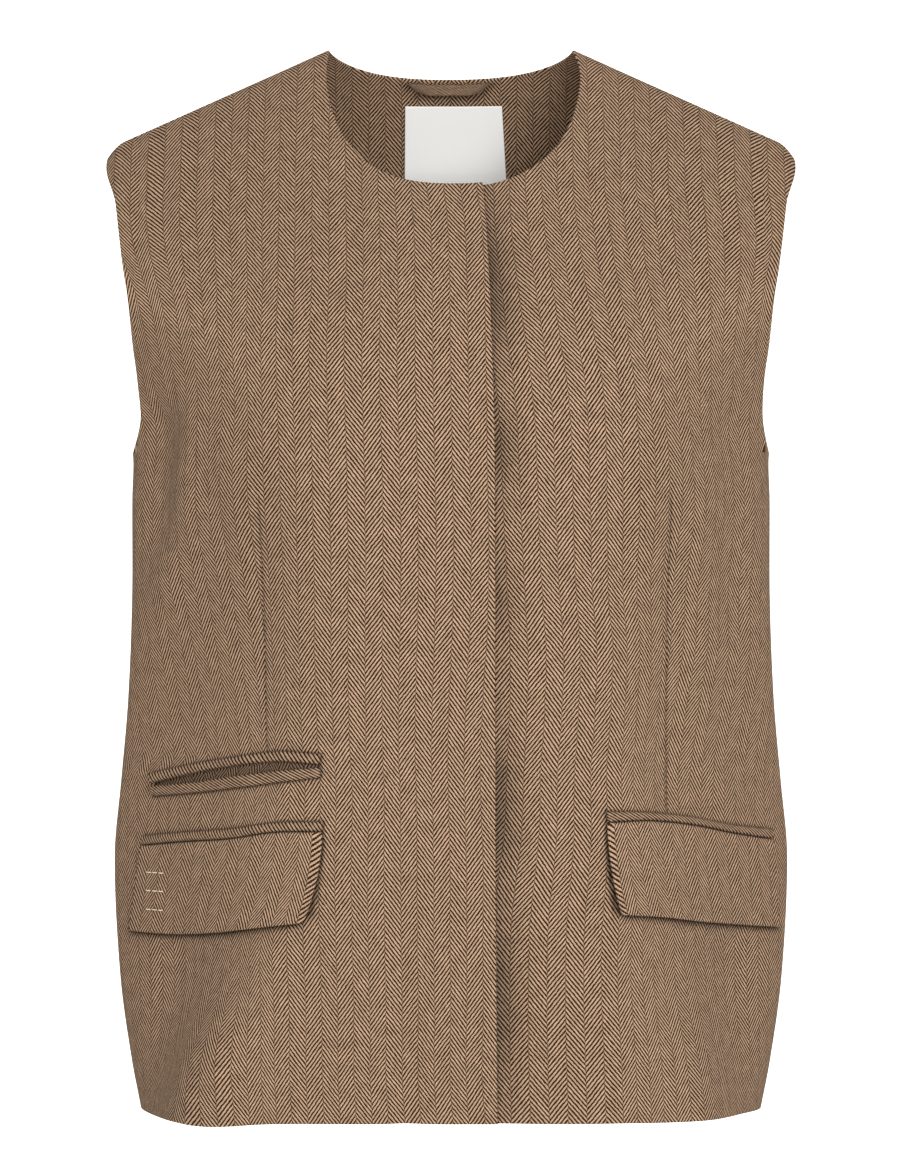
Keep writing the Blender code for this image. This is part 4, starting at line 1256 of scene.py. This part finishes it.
class VestStudio(bpy.types.PropertyGroup):
    """The floor and the lights."""

    paper: bpy.props.FloatVectorProperty(
        name="Paper", description="Colour of the floor and wall", subtype="COLOR", min=0.0,
        max=1.0, default=linear("#F4F3F1"))
    room: bpy.props.FloatProperty(
        name="Room light", description="Strength of the even light from all round", default=0.60,
        min=0.0)
    key: bpy.props.FloatProperty(
        name="Key light", description="Power of the large soft light on the right", default=68.0,
        min=0.0, unit="POWER")
    fill: bpy.props.FloatProperty(
        name="Fill light", description="Power of the soft light on the left", default=14.0,
        min=0.0, unit="POWER")
    wall: bpy.props.FloatProperty(
        name="Wall light", description="Power of the light on the wall", default=120.0, min=0.0,
        unit="POWER")


# ---- Operators ---------------------------------------------------------------------------------

def wool_material(weave, name="herringbone wool twill"):
    """The one herringbone cloth, made when it is first asked for."""
    known = bpy.data.materials.get(name)
    return known or herringbone(name, weave, tuple(weave.light), tuple(weave.dark))


def strip_material(weave, name="herringbone wool twill, cut in strips"):
    """The same cloth in narrow strips, drawn a little darker."""
    known = bpy.data.materials.get(name)
    light, dark = (tuple(c * STRIP_TONE for c in yarn) for yarn in (weave.light, weave.dark))
    return known or herringbone(name, weave, light, dark, gap_depth=1.0)


class VEST_OT_fronts(bpy.types.Operator):
    """Makes the two fronts, with their waist darts and the mouth of the ticket pocket"""

    bl_idname = "vest.fronts"
    bl_label = "Fronts"

    def execute(self, context):
        wool = wool_material(context.scene.vest_weave)
        panel_cloth("front_right", wool)
        panel_cloth("front_left", wool)
        return {"FINISHED"}


class VEST_OT_back(bpy.types.Operator):
    """Makes the back, whose inside shows through the neck"""

    bl_idname = "vest.back"
    bl_label = "Back"

    def execute(self, context):
        panel_cloth("back", wool_material(context.scene.vest_weave))
        return {"FINISHED"}


class VEST_OT_ticket_pocket(bpy.types.Operator):
    """Makes the two welts of the ticket pocket"""

    bl_idname = "vest.ticket_pocket"
    bl_label = "Ticket pocket"

    def execute(self, context):
        weave = context.scene.vest_weave
        for welt in WELTS:
            patch_cloth(welt, strip_material(weave), "folded", weave.rib)
        return {"FINISHED"}


class VEST_OT_flap_pockets(bpy.types.Operator):
    """Makes the two hip pockets: a flap below a piping on each side"""

    bl_idname = "vest.flap_pockets"
    bl_label = "Flap pockets"

    def execute(self, context):
        weave = context.scene.vest_weave
        for piping in PIPINGS:
            patch_cloth(piping, strip_material(weave), "folded", weave.rib)
        for flap in FLAPS:
            patch_cloth(flap, wool_material(weave), "hung", weave.rib)
        return {"FINISHED"}


class VEST_OT_label(bpy.types.Operator):
    """Makes the plain woven label inside the back neck"""

    bl_idname = "vest.label"
    bl_label = "Label"

    def execute(self, context):
        ribbon = satin_ribbon("white woven satin ribbon", tuple(context.scene.vest_weave.ribbon))
        inside_cloth("neck_label", LABEL_X_TOP, LABEL_X_LOW,
                     lambda x: np.full_like(x, LABEL_TOP), lambda x: np.full_like(x, LABEL_LOW),
                     LABEL_WALL, 0.0, LABEL_EDGE, ribbon, "laid")
        return {"FINISHED"}


class VEST_OT_loop(bpy.types.Operator):
    """Makes the hanger loop in the back neck seam"""

    bl_idname = "vest.loop"
    bl_label = "Hanger loop"

    def execute(self, context):
        inside_cloth("hanger_loop", LOOP_X_TOP, LOOP_X_LOW,
                     lambda x: back_top(x) - LOOP_BELOW_SEAM, lambda x: np.full_like(x, LOOP_LOW),
                     LOOP_WALL, LOOP_BOW, LOOP_EDGE, strip_material(context.scene.vest_weave),
                     "hung")
        return {"FINISHED"}


class VEST_OT_tacks(bpy.types.Operator):
    """Makes the pale tacking stitches on the right flap"""

    bl_idname = "vest.tacks"
    bl_label = "Tacking stitches"

    def execute(self, context):
        thread = cotton_thread("twisted cotton thread", tuple(context.scene.vest_weave.thread))
        flap = next(flap for flap in FLAPS if flap.name == "flap_right")
        radius = TACK_LENGTH / 2.0 / math.sin(TACK_BEND)
        bpy.ops.object.select_all(action="DESELECT")
        bpy.ops.mesh.primitive_circle_add(vertices=8, radius=TACK_RADIUS, fill_type="NGON",
                                          location=(0.0, 0.0, 0.0))
        first = context.object
        first.name = "tack"
        bpy.ops.object.mode_set(mode="EDIT")
        bpy.ops.mesh.select_all(action="SELECT")
        bpy.ops.transform.translate(value=(0.0, radius, 0.0))
        bpy.ops.mesh.spin(steps=10, angle=2.0 * TACK_BEND, center=(0.0, 0.0, 0.0),
                          axis=(1.0, 0.0, 0.0))
        bpy.ops.mesh.select_all(action="SELECT")
        bpy.ops.mesh.normals_make_consistent(inside=False)
        bpy.ops.object.mode_set(mode="OBJECT")
        bpy.ops.object.shade_smooth()
        points = np.array([vertex.co for vertex in first.data.vertices])
        middle = points.mean(axis=0)
        crown = Vector((0.0, *middle[1:])).normalized()
        lay = crown.rotation_difference(Vector((0.0, -1.0, 0.0))).to_matrix().to_4x4()
        level = Matrix.Rotation(math.pi / 2.0, 4, "Y")
        lay = Matrix.Translation((0.0, radius * math.cos(TACK_BEND) * TACK_SUNK, 0.0)) @ level @ lay
        first.data.transform(lay)
        first.data.materials.append(thread)
        for row, height in enumerate(TACK_HEIGHTS):
            for column, x in enumerate(TACK_X):
                self.place(first, flap, f"tack_{row + 1}_{column + 1}", x, height)
        bpy.data.objects.remove(first, do_unlink=True)
        return {"FINISHED"}

    def place(self, first, flap, name, x, height):
        """Sews a copy of the stitch on the flap at a place, turned to the flap's surface."""
        along = (x - flap.x_top[0]) / (flap.x_top[1] - flap.x_top[0])
        down = (height - flap.tops[0]) / (flap.lows[0] - flap.tops[0])
        spot, tall = np.array([x]), np.array([height])
        off = patch_off(flap, np.array([along]), np.array([down])) + flap.wall
        at = Vector(panel_points("front_right", spot, tall, off)[0])
        normal = Vector(form_normals("front", spot, tall)[0])
        turn = Vector((0.0, -1.0, 0.0)).rotation_difference(normal).to_matrix().to_4x4()
        copy = bpy.data.objects.new(name, first.data.copy())
        copy.data.transform(Matrix.Translation(at) @ turn)
        bpy.context.collection.objects.link(copy)
        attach(copy, "root")


class VEST_OT_studio(bpy.types.Operator):
    """Makes the paper floor and wall, the lights and the camera"""

    bl_idname = "vest.studio"
    bl_label = "Studio"

    def execute(self, context):
        studio = context.scene.vest_studio
        self.sweep(tuple(studio.paper))
        world = bpy.data.worlds.new("even studio light")
        world.use_nodes = True
        background = world.node_tree.nodes["Background"]
        background.inputs["Color"].default_value = ROOM_COLOUR
        background.inputs["Strength"].default_value = studio.room
        context.scene.world = world
        context.scene.view_settings.view_transform = "Standard"   # true colours, as in a catalogue
        self.area_light(KEY_LIGHT, studio.key)
        self.area_light(FILL_LIGHT, studio.fill)
        self.area_light(WALL_LIGHT, studio.wall)
        bpy.ops.object.camera_add(location=CAMERA_PLACE, rotation=(math.pi / 2, 0.0, 0.0))
        camera = context.object
        camera.name = "camera"
        camera.data.sensor_width = CAMERA_SENSOR
        camera.data.lens = CAMERA_LENS
        context.scene.camera = camera
        return {"FINISHED"}

    def sweep(self, colour):
        """One sheet of paper: the floor, a rounded corner and the wall behind."""
        bpy.ops.object.select_all(action="DESELECT")
        bpy.ops.mesh.primitive_plane_add(size=SWEEP_SIZE, location=(0.0, 0.0, FLOOR_HEIGHT))
        paper = bpy.context.object
        paper.name = "paper_sweep"
        bpy.ops.object.transform_apply(location=True, rotation=True, scale=True)
        bpy.ops.object.mode_set(mode="EDIT")
        bpy.ops.mesh.select_all(action="DESELECT")
        bpy.ops.object.mode_set(mode="OBJECT")
        back = SWEEP_SIZE / 2.0 - SWEEP_NEAR
        for edge in paper.data.edges:
            edge.select = all(paper.data.vertices[k].co.y > back for k in edge.vertices)
        bpy.ops.object.mode_set(mode="EDIT")
        bpy.ops.mesh.select_mode(type="EDGE")
        bpy.ops.mesh.extrude_region_move(TRANSFORM_OT_translate={"value": (0.0, 0.0, SWEEP_SIZE)})
        bpy.ops.mesh.select_all(action="DESELECT")
        bpy.ops.object.mode_set(mode="OBJECT")
        for edge in paper.data.edges:
            ends = [paper.data.vertices[k].co for k in edge.vertices]
            edge.select = all(end.y > back and end.z < FLOOR_HEIGHT + SWEEP_NEAR for end in ends)
        bpy.ops.object.mode_set(mode="EDIT")
        bpy.ops.mesh.bevel(offset=SWEEP_ROUND, segments=24, affect="EDGES")
        bpy.ops.object.mode_set(mode="OBJECT")
        bpy.ops.object.shade_smooth()
        paper.data.materials.append(studio_paper("seamless background paper", colour))

    def area_light(self, box, power):
        """A large square soft box that faces its target."""
        aim = Vector(box.target) - Vector(box.place)
        turn = aim.to_track_quat("-Z", "Y").to_euler()
        bpy.ops.object.light_add(type="AREA", location=box.place, rotation=turn)
        lamp = bpy.context.object
        lamp.name = box.name
        lamp.data.size = box.size
        lamp.data.energy = power


class VEST_PT_pieces(bpy.types.Panel):
    """Lists the pieces and their sizes and colours"""

    bl_idname = "VEST_PT_pieces"
    bl_label = "Herringbone vest"
    bl_space_type = "VIEW_3D"
    bl_region_type = "UI"
    bl_category = "Vest"

    def draw(self, context):
        for group in (context.scene.vest_weave, context.scene.vest_studio):
            box = self.layout.box()
            for name in group.__annotations__:
                box.prop(group, name)
        for operator in OPERATORS:
            self.layout.operator(operator.bl_idname)


GROUPS = (VestWeave, VestStudio)
OPERATORS = (VEST_OT_fronts, VEST_OT_back, VEST_OT_ticket_pocket, VEST_OT_flap_pockets,
             VEST_OT_label, VEST_OT_loop, VEST_OT_tacks, VEST_OT_studio)


def register():
    for kind in (*GROUPS, *OPERATORS, VEST_PT_pieces):
        bpy.utils.register_class(kind)
    bpy.types.Scene.vest_weave = bpy.props.PointerProperty(type=VestWeave)
    bpy.types.Scene.vest_studio = bpy.props.PointerProperty(type=VestStudio)


def unregister():
    del bpy.types.Scene.vest_studio
    del bpy.types.Scene.vest_weave
    for kind in (VEST_PT_pieces, *reversed(OPERATORS), *reversed(GROUPS)):
        bpy.utils.unregister_class(kind)


def main():
    register()
    bpy.ops.vest.fronts()
    bpy.ops.vest.back()
    bpy.ops.vest.ticket_pocket()
    bpy.ops.vest.flap_pockets()
    bpy.ops.vest.label()
    bpy.ops.vest.loop()
    bpy.ops.vest.tacks()
    bpy.ops.vest.studio()


if __name__ == "__main__":
    main()
